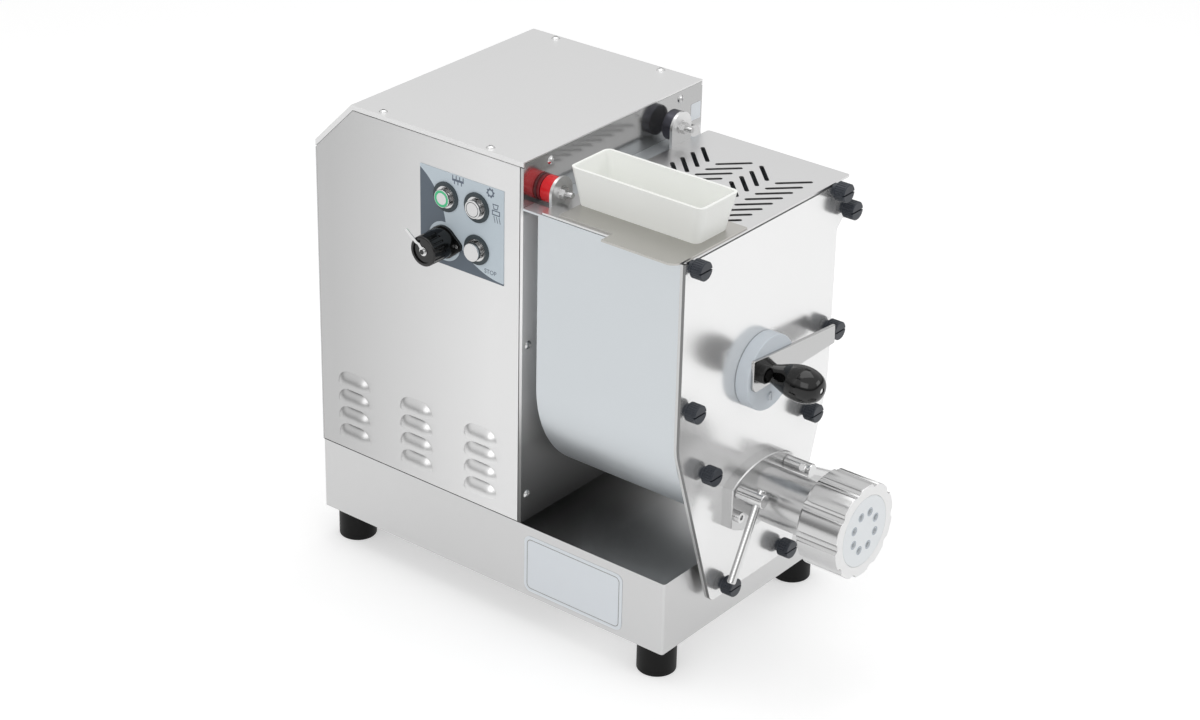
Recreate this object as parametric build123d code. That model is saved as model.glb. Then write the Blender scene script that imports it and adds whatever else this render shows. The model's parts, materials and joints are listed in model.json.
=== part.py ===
from build123d import *
import os
from math import acos, cos, degrees, pi, radians, sin, sqrt, tan

# A table-top fresh-pasta extruder: a steel base on rubber feet, a motor casing at the rear, a mixing
# tank with a slotted lid in front of it, and an extrusion barrel with a die below the tank.
# Millimetres. While it is built, x runs from the left side to the right, d is the distance forward of
# the rear face (so y = -d) and z is the height above the table. The finished machine is then moved so
# that the origin is the bottom centre of everything.

# Base and feet
MACHINE_WIDTH = 280.0
BASE_LENGTH = 450.0
BASE_HEIGHT = 80.0
BASE_SHEET = 2.0
BASE_FLANGE = 46.0
PLATE_GAP = 3.0
FOOT_HEIGHT = 35.0
FOOT_RADIUS = 20.0
FOOT_INSET = 24.5
FOOT_BOLT_RADIUS = 4.0
FOOT_BOLT_FLAT = 6.5
FOOT_RECESS = 12.0
FOOT_RECESS_RADIUS = 9.0

# Motor casing
CASING_LENGTH = 270.0
CASING_HEIGHT = 390.0
CASING_CHAMFER = 50.0
CASING_SHEET = 1.5
COVER_LIP = 3.5
SEAM = 1.0
FIT = 0.2
FRONT_LIP = 3.5
SCREW_INSET = 7.5
SCREW_HEAD_RADIUS = 4.5
SCREW_HEAD_HEIGHT = 2.4
SCREW_SHANK_RADIUS = 2.2
COVER_SCREW_SETBACKS = (184.0, 47.0)
LOUVRE_COLUMNS = (-89.0, -3.5, 82.0)
LOUVRE_TOP = 206.0
LOUVRE_PITCH = 20.2
LOUVRE_ROWS = 4
LOUVRE_HALF_LENGTH = 22.0
LOUVRE_HEIGHT = 14.0
LOUVRE_DEPTH = 6.5
LOUVRE_WALL = 1.2
FLANGE_WIDTH = 15.0
JOGGLE_WIDTH = 18.0
HOLE_GAP = 0.3
VENT_SLOT_LENGTH = 60.0
VENT_SLOT_WIDTH = 4.0
VENT_SLOT_PITCH = 10.0
VENT_SLOTS = 7
REAR_VENT_COLUMNS = (80.0, 200.0)
REAR_VENT_RISE = 200.0
BOTTOM_VENT_START = 60.0
GLAND_FLAT = 12.0
GLAND_BARREL_RADIUS = 8.0
CABLE_RADIUS = 4.5

# Axes of the drive: the two driven shafts lie one above the other, a gear pair apart
AXIS_X = 122.0
PADDLE_Z = 306.5
GEAR_MODULE = 3.0
PADDLE_TEETH = 58
AUGER_TEETH = 29
PINION_TEETH = 20
PINION_STEP = 22
GEAR_WIDTH = 20.0
GEAR_SETBACK = 34.0
BACKLASH = 0.15
PRESSURE_ANGLE = 20.0
SHAFT_RADIUS = 12.5
MOTOR_SHAFT_RADIUS = 10.0
RUNNING = 0.06
PRESSED = 0.02

# Gearbox plates, bearings and motor
FRAME_PLATE = 8.0
PLATE_SPACING = 60.0
FRONT_PLATE_GAP = 14.0
PLATE_LEFT = 42.0
PLATE_RIGHT_GAP = 16.0
PLATE_DROP = 30.0
TIE_BOLT_RADIUS = 6.0
TIE_INSET = 15.0
BEARING_RADIUS = 21.0
MOTOR_BEARING_RADIUS = 17.0
SEAL_RADIUS = 18.0
SEAL_WIDTH = 5.0
MOTOR_RADIUS = 52.0
MOTOR_LENGTH = 118.0
MOTOR_FINS = 16
MOTOR_FIN = (3.0, 88.0, 6.0)
GEARHEAD_SIZE = 108.0
GEARHEAD_LENGTH = 42.0
WHEEL_RECESS = 6.0
WHEEL_RIM_RADIUS = 74.0
WHEEL_HUB_RADIUS = 26.0
PLATE_PAD_RADIUS = 9.0
POWER_BOX = (22.0, 112.0, 24.0, 124.0)
POWER_BOX_HEIGHT = 95.0
POWER_FINS = 9
POWER_FIN_PITCH = 9.0
POWER_FIN_GAP = 4.0
POWER_FIN_DEPTH = 20.0

# Mixing tank
TANK_RADIUS = 123.0
TROUGH_DROP = 30.0
TANK_WALL = 2.0
TANK_TOP = 458.7
TANK_GAP = 19.0
TANK_BOSS = 26.0
CHANNEL_OUTER = 28.0
BARREL_BORE = 22.5
FRAME_OPENING = 106.0
FRAME_TOP_BAR = 12.7
FRAME_PAD_X = 22.0
FRAME_PAD_Z = 96.0
FRAME_PAD_RADIUS = 9.0
FRAME_THICK = 3.0
PANEL_THICK = 3.0
PANEL_OVERHANG = 12.5

# Front panel outline: the left flank tapers from higher up than the right one
PANEL_TOP_INSET = 0.1
PANEL_BOTTOM = 73.0
PANEL_LEFT = -2.0
PANEL_RIGHT = 245.0
PANEL_FOOT_LEFT = 59.5
PANEL_FOOT_RIGHT = 195.0
LEFT_SHOULDER = 262.0
RIGHT_SHOULDER = 240.0
PANEL_FOOT_ROUND = 10.0
LEFT_ROUND = 60.0
RIGHT_ROUND = 200.0
PANEL_EAR_RADIUS = 13.0

# Panel knobs, as (x, z)
KNOB_RADIUS = 9.5
KNOB_NECK_RADIUS = 6.5
KNOB_NECK = 4.0
KNOB_HEAD = 13.0
KNOB_RIBS = 24
KNOB_RIB_RADIUS = 0.9
STUD_RADIUS = 3.0
STUD_REACH = 12.0
KNOB_PLACES = {
    "top_left": (7.0, 455.0), "top_right": (236.0, 455.0),
    "middle_left": (7.0, 308.0), "middle_right": (236.0, 308.0),
    "lower_left": (38.0, 228.0), "lower_right": (206.0, 228.0),
    "bottom_left": (78.0, 87.0), "bottom_right": (173.0, 87.0),
}

# Lid, with its hinge along y at the right
LID_WIDTH = 264.0
LID_GAP = 21.0
LID_SETBACK = 1.0
LID_SHEET = 2.0
LID_Z = 459.0
HEM = 12.0
HEM_INSET = 4.0
HEM_ENDS = (8.0, 215.0)
FRONT_HEM_SETBACK = 11.5
REAR_HEM_SETBACK = 4.0
RIGHT_HEM = 9.0
HINGE_X = 253.0
HINGE_Z = 431.0
HINGE_LUG_RADIUS = 7.0
LUG_SHIFT = 2.0
HINGE_PIN_RADIUS = 3.0
FRONT_LUG_SETBACK = 12.5
HINGE_BOSS_RADIUS = 6.0
BRACKET = (245.0, 275.0, 412.0, 447.0)
BRACKET_THICK = 4.0
SLOT_LENGTH = 37.0
SLOT_WIDTH = 4.5
SLOT_PITCH = 16.55
SLOT_ROWS = (-50.5, -15.5, 20.5, 55.5)
SLOT_LAST_X = 211.5
SLOT_COUNT = 8
EAR_THICK = 3.0
EAR_RADIUS = 15.8
EAR_STUD_RADIUS = 2.9
EARS = {"left": (32.0, 470.3), "right": (219.0, 478.0)}
MAGNET_RADIUS = 13.5
MAGNET_NOTCH = 2.0
MAGNET_GAP = 0.8
SENSOR_LENGTH = 3.4
BUMPER_RADIUS = 15.5
BUMPER_LENGTH = 10.5

# Loading tray and the plate that it stands on
TRAY_BOTTOM = (33.0, 81.0, 18.0, 12.5)
TRAY_RIM = (29.0, 88.0, 10.0, 5.5)
TRAY_HEIGHT = 38.0
TRAY_WALL = 3.0
TRAY_PLATE = 2.0
TRAY_OVERHANG = 15.0
TRAY_STEP = 84.0
TRAY_PLATE_SETBACK = 20.0
TRAY_PLATE_RIGHT = 95.0
FEED_SLOT = (51.0, 63.0, 39.0, 31.5)
LIFT_GAP = 0.05

# Mixing paddle
PADDLE_RADIUS = 105.0
ARM_RADIUS = 7.0
ARMS = 4
ARM_PITCH = 32.0
BLADE = (34.0, 24.0, 6.0)
BLADE_TWIST = 35.0

# Shaft bush with its lever
BUSH_RADIUS = 38.5
BUSH_LENGTH = 15.0
SPIGOT_RADIUS = 26.0
LEVER_THICK = 3.0
LEVER_LEFT = 88.5
LEVER_LEFT_LEVELS = (296.8, 331.7)
LEVER_RIGHT_LEVELS = (299.7, 319.5)
LEVER_LOW_ROUND = 8.0
LEVER_HIGH_ROUND = 2.0
LEVER_REACH = 103.5
LEVER_HUB = (102.5, 314.5)
HUB_RADIUS = 9.0
HUB_RECESS = (7.0, 3.0)
HUB_NUT_FLAT = 5.0
HUB_LENGTH = 7.0
BUSH_SCREW_DROP = 25.0
BUSH_SCREW_RADIUS = 3.0
GRIP_LENGTH = 56.0
GRIP_RADIUS = 18.0
GRIP_NECK = 9.5
GRIP_SCREW_RADIUS = 3.2

# Extruder
FLANGE_THICK = 12.0
FLANGE_HALF_WIDTH = 50.0
FLANGE_ELLIPSE = (62.0, 36.0)
BARREL_RADIUS = 28.0
HEAD_RADIUS = 41.4
DIE_RADIUS = 40.0
HEAD_START = 86.0
DIE_SEAT = 117.0
EXTRUDER_REACH = 131.0
RING_LENGTH = 47.0
RING_RADIUS = 48.5
RING_WINDOW = 36.6
RING_LIP = 4.0
FLUTES = 10
FLUTE_RADIUS = 7.0
FLUTE_DEPTH = 3.5
DIE_HOLES = 8
DIE_HOLE_RADIUS = 3.25
DIE_HOLE_CIRCLE = 19.5
CLAMP_X = 40.0
CLAMP_RISE = 16.0
CLAMP_NUT_RADIUS = 7.0
CLAMP_NUT_LENGTH = 30.5
CLAMP_STUD_RADIUS = 4.0
CLAMP_STUD_REACH = 33.0
TOMMY_RADIUS = 4.25
TOMMY_LENGTH = 85.0
TOMMY_TAIL = 10.0
TOMMY_ANGLES = {"left": -118.0, "right": -30.0}
FLANGE_SCREW = (42.0, -10.0)
FLANGE_SCREW_HEAD = (5.5, 6.0)
FLANGE_SCREW_SHANK = (3.0, 9.0)
AUGER_CLEARANCE = 0.6
AUGER_CORE = 9.0
AUGER_PITCH = 36.0
AUGER_FLIGHT = 4.0

# Controls on the left side, as distances behind the casing's front and heights
LABEL = (129.5, 23.5, 370.0, 469.0)
LABEL_THICK = 0.6
BUTTON_PLACES = {
    "start_button": (96.0, 443.0), "extrude_button": (57.0, 443.0), "stop_button": (57.0, 398.5),
}
BUTTON_RING = 14.2
BUTTON_RING_THICK = 1.5
BUTTON_BEZEL = 11.2
BUTTON_BEZEL_STAND = 2.2
BUTTON_BARREL = 9.5
BUTTON_DEPTH = 36.0
BUTTON_NUT = (12.5, 4.0)
BUTTON_CAP = 9.3
BUTTON_CAP_THICK = {"start_button": 2.4, "extrude_button": 2.4, "stop_button": 4.4}
BUTTON_STEM = 7.0
BUTTON_STEM_REACH = 4.0
BUTTON_TRAVEL = 2.5
SOCKET = (98.5, 395.0)
SOCKET_FLANGE = (23.0, 17.0)
SOCKET_FLANGE_THICK = 3.0
SOCKET_END_RADIUS = 6.0
SOCKET_NECK_RADIUS = 12.0
SOCKET_BODY_RADIUS = 11.0
SOCKET_BORE_RADIUS = 8.5
CAP_RADIUS = 15.5
CAP_REACH = 33.0
CAP_RIBS = 18
CAP_DISH = 1.5
STRAP_EYE = 4.6
STRAP_THICK = 0.8
STRAP_WIDTH = 3.4
STRAP_REACH = 27.0
STRAP_TURN = 50.0

base_top = FOOT_HEIGHT + BASE_HEIGHT
casing_top = base_top + CASING_HEIGHT
trough_z = PADDLE_Z - TROUGH_DROP
auger_z = PADDLE_Z - GEAR_MODULE * (PADDLE_TEETH + AUGER_TEETH) / 2
pinion_angle = radians(-90 + PINION_STEP * 360 / PADDLE_TEETH)
pinion_distance = GEAR_MODULE * (PADDLE_TEETH + PINION_TEETH) / 2
motor_x = AXIS_X + pinion_distance * cos(pinion_angle)
motor_z = PADDLE_Z + pinion_distance * sin(pinion_angle)
side_top = casing_top - CASING_SHEET - COVER_LIP - SEAM
panel_face = BASE_LENGTH + PANEL_OVERHANG
panel_start = panel_face - PANEL_THICK
frame_start = panel_start - FRAME_THICK
bulkhead_start = CASING_LENGTH + TANK_GAP
lid_start = CASING_LENGTH + LID_GAP
lid_end = panel_face - LID_SETBACK
front_hem_start = lid_end - FRONT_HEM_SETBACK
rear_hem_start = lid_start + REAR_HEM_SETBACK
front_lug_start = lid_end - FRONT_LUG_SETBACK
front_plate_start = CASING_LENGTH - FRONT_PLATE_GAP
rear_plate_start = front_plate_start - PLATE_SPACING
gear_start = front_plate_start - GEAR_SETBACK
cover_screw_depths = [CASING_LENGTH - setback for setback in COVER_SCREW_SETBACKS]
button_places = {name: (CASING_LENGTH - setback, z) for name, (setback, z) in BUTTON_PLACES.items()}
socket_depth = CASING_LENGTH - SOCKET[0]
label_face = -LABEL_THICK


def block(x0, x1, d0, d1, z0, z1):
    """Box between two x, two depths and two heights."""
    size = Box(x1 - x0, d1 - d0, z1 - z0)
    return Pos((x0 + x1) / 2, -(d0 + d1) / 2, (z0 + z1) / 2) * size


def rod(x, z, d0, d1, radius):
    """Cylinder along y, from depth d0 to d1."""
    return Pos(x, -(d0 + d1) / 2, z) * Rot(90, 0, 0) * Cylinder(radius, abs(d1 - d0))


def side_rod(d, z, x0, x1, radius):
    """Cylinder along x."""
    return Pos((x0 + x1) / 2, -d, z) * Rot(0, 90, 0) * Cylinder(radius, abs(x1 - x0))


def post(x, d, z0, z1, radius):
    """Upright cylinder."""
    return Pos(x, -d, (z0 + z1) / 2) * Cylinder(radius, z1 - z0)


def front_profile(sketch, d0, d1):
    """A sketch drawn as (x, z), extruded from depth d0 forward to d1."""
    return extrude(Plane.XZ.offset(d0) * sketch, d1 - d0)


def side_profile(points, x0, x1):
    """A polygon given as (d, z), extruded from x0 to x1."""
    face = make_face(Polyline([(-d, z) for d, z in points], close=True))
    return extrude(Plane.YZ.offset(x0) * face, x1 - x0)


def dome_screw(place, tip):
    """Domed screw at the origin with its head towards +z and its shank down to -tip."""
    ball = SCREW_HEAD_RADIUS ** 2 / (2 * SCREW_HEAD_HEIGHT) + SCREW_HEAD_HEIGHT / 2
    head = Pos(0, 0, SCREW_HEAD_HEIGHT - ball) * Sphere(ball)
    head = head & Pos(0, 0, SCREW_HEAD_HEIGHT) * Cylinder(SCREW_HEAD_RADIUS, 2 * SCREW_HEAD_HEIGHT)
    slot = Pos(0, 0, SCREW_HEAD_HEIGHT) * (Box(4.4, 1.1, 2.0) + Box(1.1, 4.4, 2.0))
    shank = Pos(0, 0, -tip / 2) * Cylinder(SCREW_SHANK_RADIUS, tip)
    return place * (head - slot + shank)


def facing_front(x, d, z):
    """Place whose +z points to the front."""
    return Pos(x, -d, z) * Rot(90, 0, 0)


def casing_outline(drop, front, back):
    """Side outline of the casing, lowered by drop along its top and rear chamfer."""
    slant = drop * sqrt(2)
    return [
        (back, base_top), (front, base_top), (front, casing_top - drop),
        (CASING_CHAMFER - drop + slant, casing_top - drop),
        (back, casing_top - CASING_CHAMFER + back - slant),
    ]


# Base


def base_tray():
    tray = block(0, MACHINE_WIDTH, 0, BASE_LENGTH, FOOT_HEIGHT, base_top)
    tray = fillet(tray.edges().filter_by(Axis.Z), 3)
    inner = block(BASE_SHEET, MACHINE_WIDTH - BASE_SHEET, BASE_SHEET, BASE_LENGTH - BASE_SHEET,
                  FOOT_HEIGHT + BASE_SHEET, base_top - BASE_SHEET)
    mouth = block(BASE_FLANGE, MACHINE_WIDTH - BASE_FLANGE, BASE_FLANGE, BASE_LENGTH - BASE_FLANGE,
                  FOOT_HEIGHT - 1, FOOT_HEIGHT + BASE_SHEET + 1)
    tray = tray - inner - mouth
    for x, d in foot_places():
        tray -= post(x, d, FOOT_HEIGHT - 1, FOOT_HEIGHT + 5, FOOT_BOLT_RADIUS + 0.3)
    return tray


def foot_places():
    return [(x, d) for x in (FOOT_INSET, MACHINE_WIDTH - FOOT_INSET)
            for d in (FOOT_INSET, BASE_LENGTH - FOOT_INSET)]


def base_bottom_plate():
    low = FOOT_HEIGHT + BASE_SHEET
    edge = BASE_SHEET + PLATE_GAP
    plate = block(edge, MACHINE_WIDTH - edge, edge, BASE_LENGTH - edge, low, low + BASE_SHEET)
    for x, d in foot_places():
        plate -= post(x, d, low - 1, low + 5, FOOT_BOLT_RADIUS + 0.6)
    for i in range(VENT_SLOTS):
        x = MACHINE_WIDTH / 2 + (i - (VENT_SLOTS - 1) / 2) * VENT_SLOT_PITCH
        half = VENT_SLOT_WIDTH / 2
        end = BOTTOM_VENT_START + VENT_SLOT_LENGTH
        plate -= block(x - half, x + half, BOTTOM_VENT_START, end, low - 1, low + 5)
    return plate


def feet():
    made = []
    for x, d in foot_places():
        foot = post(x, d, 0, FOOT_HEIGHT, FOOT_RADIUS)
        foot = fillet(foot.edges().filter_by(GeomType.CIRCLE), 1.5)
        foot -= post(x, d, FOOT_RECESS - 1, FOOT_HEIGHT + 1, FOOT_BOLT_RADIUS + PRESSED)
        made.append(foot - post(x, d, -1, FOOT_RECESS, FOOT_RECESS_RADIUS))
    return made


def hexagon(flat, z0, z1):
    """Upright hexagonal prism between two heights, flat being half its width across flats."""
    outline = RegularPolygon(flat, 6, major_radius=False)
    return Pos(0, 0, z0) * extrude(outline, z1 - z0)


def front_hexagon(x, z, flat, d0, d1):
    return front_profile(Pos(x, z) * RegularPolygon(flat, 6, major_radius=False), d0, d1)


def frame_bolts():
    """Bolts that go up through the feet, and the tie bolts between the gearbox plates."""
    top = FOOT_HEIGHT + 2 * BASE_SHEET
    bolt = hexagon(FOOT_BOLT_FLAT, FOOT_RECESS - 5.3, FOOT_RECESS)
    bolt += post(0, 0, FOOT_RECESS, top + 8, FOOT_BOLT_RADIUS)
    bolt += hexagon(FOOT_BOLT_FLAT, top, top + 6.5)
    made = [Pos(x, -d, 0) * bolt for x, d in foot_places()]
    start = rear_plate_start + FRAME_PLATE
    for x, z in tie_places():
        made.append(rod(x, z, start, front_plate_start, TIE_BOLT_RADIUS))
    return made


# Casing


def one_louvre():
    """Pressed louvre on the plane x = 0: part of a capsule that bulges to -x and is open below."""
    radius = (LOUVRE_HEIGHT ** 2 + LOUVRE_DEPTH ** 2) / (2 * LOUVRE_DEPTH)
    straight = 2 * (LOUVRE_HALF_LENGTH - LOUVRE_HEIGHT)
    reach = 2 * LOUVRE_HALF_LENGTH

    def capsule(inset):
        middle = Rot(90, 0, 0) * Cylinder(radius - inset, straight)
        ends = [Pos(0, side * straight / 2, 0) * Sphere(radius - inset) for side in (-1, 1)]
        return Pos(radius - LOUVRE_DEPTH, 0, 0) * (middle + ends)

    def outside(x):
        """Everything above the louvre's mouth and outside x."""
        return Pos(x - reach / 2, 0, reach / 2) * Box(reach, 2 * reach, reach)

    hood = (capsule(0) & outside(CASING_SHEET / 2)) - capsule(LOUVRE_WALL)
    return hood, capsule(LOUVRE_WALL) & outside(CASING_SHEET + 1)


def louvre_places():
    low = LOUVRE_TOP - LOUVRE_HEIGHT
    middle = CASING_LENGTH / 2
    return [(middle + column, low - row * LOUVRE_PITCH)
            for column in LOUVRE_COLUMNS for row in range(LOUVRE_ROWS)]


def plain_side_panel():
    """Left side sheet with its inner flanges, without louvres and control holes."""
    front = CASING_LENGTH - FRONT_LIP - SEAM
    back = CASING_SHEET + FIT
    top = CASING_SHEET + FIT
    inside = casing_outline(top, front, back)
    sheet = side_profile(casing_outline(casing_top - side_top, front, back), 0, CASING_SHEET)
    sheet -= block(-1, CASING_SHEET, back - 1, front + 1, base_top - 1, base_top + SEAM)
    joggle = side_profile(inside, CASING_SHEET, 2 * CASING_SHEET)
    joggle -= side_profile(casing_outline(top + JOGGLE_WIDTH, front + 1, back - 1), 0, 3 * CASING_SHEET)
    flange = side_profile(inside, CASING_SHEET, FLANGE_WIDTH)
    flange -= side_profile(casing_outline(top + CASING_SHEET, front + 1, back - 1), 0, FLANGE_WIDTH + 1)
    foot = block(CASING_SHEET, FLANGE_WIDTH, back, front, base_top, base_top + CASING_SHEET)
    holes = [post(SCREW_INSET, d, casing_top - 12, casing_top, SCREW_SHANK_RADIUS + HOLE_GAP)
             for d in cover_screw_depths]
    return sheet + joggle + flange + foot - holes


def louvred(panel, x, turn):
    """Presses the louvres into a side sheet whose outer face is at x."""
    hood, opening = one_louvre()
    places = [Pos(x, -d, z) * Rot(0, 0, turn) for d, z in louvre_places()]
    panel = panel - [place * opening for place in places]
    return panel + [place * hood for place in places]


def side_panel_left():
    return louvred(plain_side_panel(), 0, 0) - label_cuts()


def side_panel_right():
    return louvred(mirror(plain_side_panel(), Plane.YZ.offset(MACHINE_WIDTH / 2)), MACHINE_WIDTH, 180)


def label_cuts():
    cuts = [side_rod(d, z, -5, 5, BUTTON_BARREL + FIT) for d, z in button_places.values()]
    cuts.append(side_rod(socket_depth, SOCKET[1], -5, 5, SOCKET_BODY_RADIUS + FIT))
    return cuts


def top_cover():
    outside = side_profile(casing_outline(0, CASING_LENGTH, 0), 0, MACHINE_WIDTH)
    below = side_profile(casing_outline(CASING_SHEET, CASING_LENGTH + 1, -1), -1, MACHINE_WIDTH + 1)
    cover = outside - below
    lip = side_profile(casing_outline(0, CASING_LENGTH, 0), 0, CASING_SHEET)
    lip -= side_profile(casing_outline(CASING_SHEET + COVER_LIP, CASING_LENGTH + 1, -1), -1, 3)
    cover = cover + lip + mirror(lip, Plane.YZ.offset(MACHINE_WIDTH / 2))
    for x in (SCREW_INSET, MACHINE_WIDTH - SCREW_INSET):
        for d in cover_screw_depths:
            cover -= post(x, d, casing_top - 5, casing_top + 5, SCREW_SHANK_RADIUS + HOLE_GAP)
    return cover


def plate_screw_places():
    """Screws of the casing's front plate, as (x, z)."""
    return [(40, casing_top - 10), (243.5, casing_top - 10), (9, base_top + 196), (9, base_top + 30),
            (MACHINE_WIDTH - 9, base_top + 30)]


def casing_front_plate():
    high = casing_top - CASING_SHEET - FIT
    back = CASING_LENGTH - CASING_SHEET
    plate = block(0, MACHINE_WIDTH, back, CASING_LENGTH, base_top, high)
    for x in (0, MACHINE_WIDTH - CASING_SHEET):
        plate += block(x, x + CASING_SHEET, CASING_LENGTH - FRONT_LIP, CASING_LENGTH, base_top + SEAM,
                       side_top)
    side_notch = block(-1, CASING_SHEET + 0.1, back - 1, CASING_LENGTH + 1, side_top, casing_top)
    plate = plate - side_notch - mirror(side_notch, Plane.YZ.offset(MACHINE_WIDTH / 2))
    for z in (PADDLE_Z, auger_z):
        plate -= rod(AXIS_X, z, back - 2, CASING_LENGTH + 2, SEAL_RADIUS + PRESSED)
    for x, z in plate_screw_places():
        plate -= rod(x, z, back - 2, CASING_LENGTH + 2, SCREW_SHANK_RADIUS + HOLE_GAP)
    return plate


def gland_place():
    return (MACHINE_WIDTH - 50, base_top + 45)


def casing_rear_plate():
    high = casing_top - CASING_CHAMFER - CASING_SHEET * sqrt(2) - 0.3
    plate = block(0, MACHINE_WIDTH, 0, CASING_SHEET, base_top, high)
    for x in REAR_VENT_COLUMNS:
        for i in range(VENT_SLOTS):
            outline = SlotOverall(VENT_SLOT_LENGTH, VENT_SLOT_WIDTH)
            z = base_top + REAR_VENT_RISE + i * VENT_SLOT_PITCH
            plate -= front_profile(Pos(x, z) * outline, -1, CASING_SHEET + 1)
    lip_low = casing_top - CASING_CHAMFER - (CASING_SHEET + COVER_LIP) * sqrt(2) - SEAM
    for x in (0, MACHINE_WIDTH):
        plate -= block(x - CASING_SHEET - 0.1, x + CASING_SHEET + 0.1, -1, 3, lip_low, casing_top)
    x, z = gland_place()
    return plate - rod(x, z, -2, 5, GLAND_BARREL_RADIUS + FIT)


def cable_gland():
    x, z = gland_place()
    nut = front_hexagon(x, z, GLAND_FLAT, -4, 0)
    dome = Pos(x, 4, z) * Rot(-90, 0, 0) * Cone(10.5, 7.0, 9, align=(Align.CENTER, Align.CENTER, Align.MIN))
    lock = front_hexagon(x, z, GLAND_FLAT, CASING_SHEET, CASING_SHEET + 4)
    return nut + dome + rod(x, z, 0, 9, GLAND_BARREL_RADIUS) + lock - rod(x, z, -14, 10, CABLE_RADIUS)


def casing_screws():
    made = []
    for x in (SCREW_INSET, MACHINE_WIDTH - SCREW_INSET):
        for d in cover_screw_depths:
            made.append(dome_screw(Pos(x, -d, casing_top), 8))
    for x, z in plate_screw_places():
        made.append(dome_screw(facing_front(x, CASING_LENGTH, z), 5))
    return made


# Drive


def gear(teeth, bore):
    """Spur gear blank with involute teeth, a tooth on the +x axis, drawn in the sketch plane."""
    pitch_r = GEAR_MODULE * teeth / 2
    base_r = pitch_r * cos(radians(PRESSURE_ANGLE))
    tip_r = pitch_r + GEAR_MODULE
    root_r = pitch_r - 1.25 * GEAR_MODULE
    spread = tan(radians(PRESSURE_ANGLE)) - radians(PRESSURE_ANGLE)
    half = pi / (2 * teeth) - BACKLASH / (2 * pitch_r) + spread

    def flank_angle(radius):
        if radius <= base_r:
            return half
        lean = acos(base_r / radius)
        return half - (tan(lean) - lean)

    low = max(base_r, root_r)
    radii = [low + (tip_r - low) * t for t in (0, 0.2, 0.5, 0.75, 1)]
    points = []
    for i in range(teeth):
        middle = 2 * pi * i / teeth
        rising = [(root_r, middle - half)] if root_r < base_r else []
        rising += [(r, middle - flank_angle(r)) for r in radii]
        falling = [(r, 2 * middle - a) for r, a in reversed(rising)]
        points += [(r * cos(a), r * sin(a)) for r, a in rising + falling]
    return make_face(Polyline(points, close=True)) - Circle(bore)


def placed_gear(teeth, x, z, turn, bore):
    outline = Pos(x, z) * Rot(0, 0, turn) * gear(teeth, bore)
    return front_profile(outline, gear_start, gear_start + GEAR_WIDTH)


def paddle_gear():
    wheel = placed_gear(PADDLE_TEETH, AXIS_X, PADDLE_Z, -90, SHAFT_RADIUS + PRESSED)
    deep = WHEEL_RECESS + 1
    for side in (gear_start - 1, gear_start + GEAR_WIDTH - WHEEL_RECESS):
        wheel -= ring(AXIS_X, PADDLE_Z, side, side + deep, WHEEL_RIM_RADIUS, WHEEL_HUB_RADIUS)
    return wheel


def auger_gear():
    half_tooth = 180 / AUGER_TEETH
    return placed_gear(AUGER_TEETH, AXIS_X, auger_z, 90 + half_tooth, SHAFT_RADIUS + PRESSED)


def motor_pinion():
    turn = degrees(pinion_angle) + 180 + 180 / PINION_TEETH
    start = rear_plate_start - GEARHEAD_LENGTH + 4
    teeth = placed_gear(PINION_TEETH, motor_x, motor_z, turn, MOTOR_SHAFT_RADIUS - 1)
    return teeth + rod(motor_x, motor_z, start, gear_start + GEAR_WIDTH + 2, MOTOR_SHAFT_RADIUS)


def gearmotor():
    back = rear_plate_start - GEARHEAD_LENGTH
    half = GEARHEAD_SIZE / 2
    head = block(motor_x - half, motor_x + half, back, rear_plate_start, motor_z - half, motor_z + half)
    head = fillet(head.edges().filter_by(Axis.Y), 10)
    can = rod(motor_x, motor_z, back - MOTOR_LENGTH, back, MOTOR_RADIUS)
    fin = Pos(0, 0, MOTOR_RADIUS + 1) * Box(*MOTOR_FIN)
    for i in range(MOTOR_FINS):
        can += Pos(motor_x, MOTOR_LENGTH / 2 - back, motor_z) * Rot(0, i * 360 / MOTOR_FINS, 0) * fin
    bore = rod(motor_x, motor_z, back + 3, rear_plate_start + 1, MOTOR_SHAFT_RADIUS + RUNNING)
    return head + can - bore


def tie_places():
    left, right, low, high = gearbox_box()
    return [(x, z) for x in (left + TIE_INSET, right - TIE_INSET)
            for z in (low + TIE_INSET, high - TIE_INSET)]


def gearbox_box():
    return (PLATE_LEFT, MACHINE_WIDTH - PLATE_RIGHT_GAP, base_top, casing_top - PLATE_DROP)


def gearbox_plate(start):
    left, right, low, high = gearbox_box()
    plate = block(left, right, start, start + FRAME_PLATE, low, high)
    for z in (PADDLE_Z, auger_z):
        plate -= rod(AXIS_X, z, start - 1, start + FRAME_PLATE + 1, BEARING_RADIUS + PRESSED)
    return plate - rod(motor_x, motor_z, start - 1, start + FRAME_PLATE + 1, MOTOR_BEARING_RADIUS + PRESSED)


def gearbox_rear_plate():
    return gearbox_plate(rear_plate_start)


def gearbox_front_plate():
    """Front plate, with four pads that reach the casing's front plate."""
    plate = gearbox_plate(front_plate_start)
    for x, z in tie_places():
        plate += rod(x, z, front_plate_start + FRAME_PLATE, CASING_LENGTH - CASING_SHEET, PLATE_PAD_RADIUS)
    return plate


def ring(x, z, d0, d1, outer, inner):
    return rod(x, z, d0, d1, outer) - rod(x, z, d0 - 1, d1 + 1, inner)


def shaft_bearings():
    bore = SHAFT_RADIUS + RUNNING
    motor_bore = MOTOR_SHAFT_RADIUS + RUNNING
    end = rear_plate_start + FRAME_PLATE
    made = [ring(motor_x, motor_z, rear_plate_start, end, MOTOR_BEARING_RADIUS, motor_bore)]
    for start in (rear_plate_start, front_plate_start):
        for z in (PADDLE_Z, auger_z):
            made.append(ring(AXIS_X, z, start, start + FRAME_PLATE, BEARING_RADIUS, bore))
    return made


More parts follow.
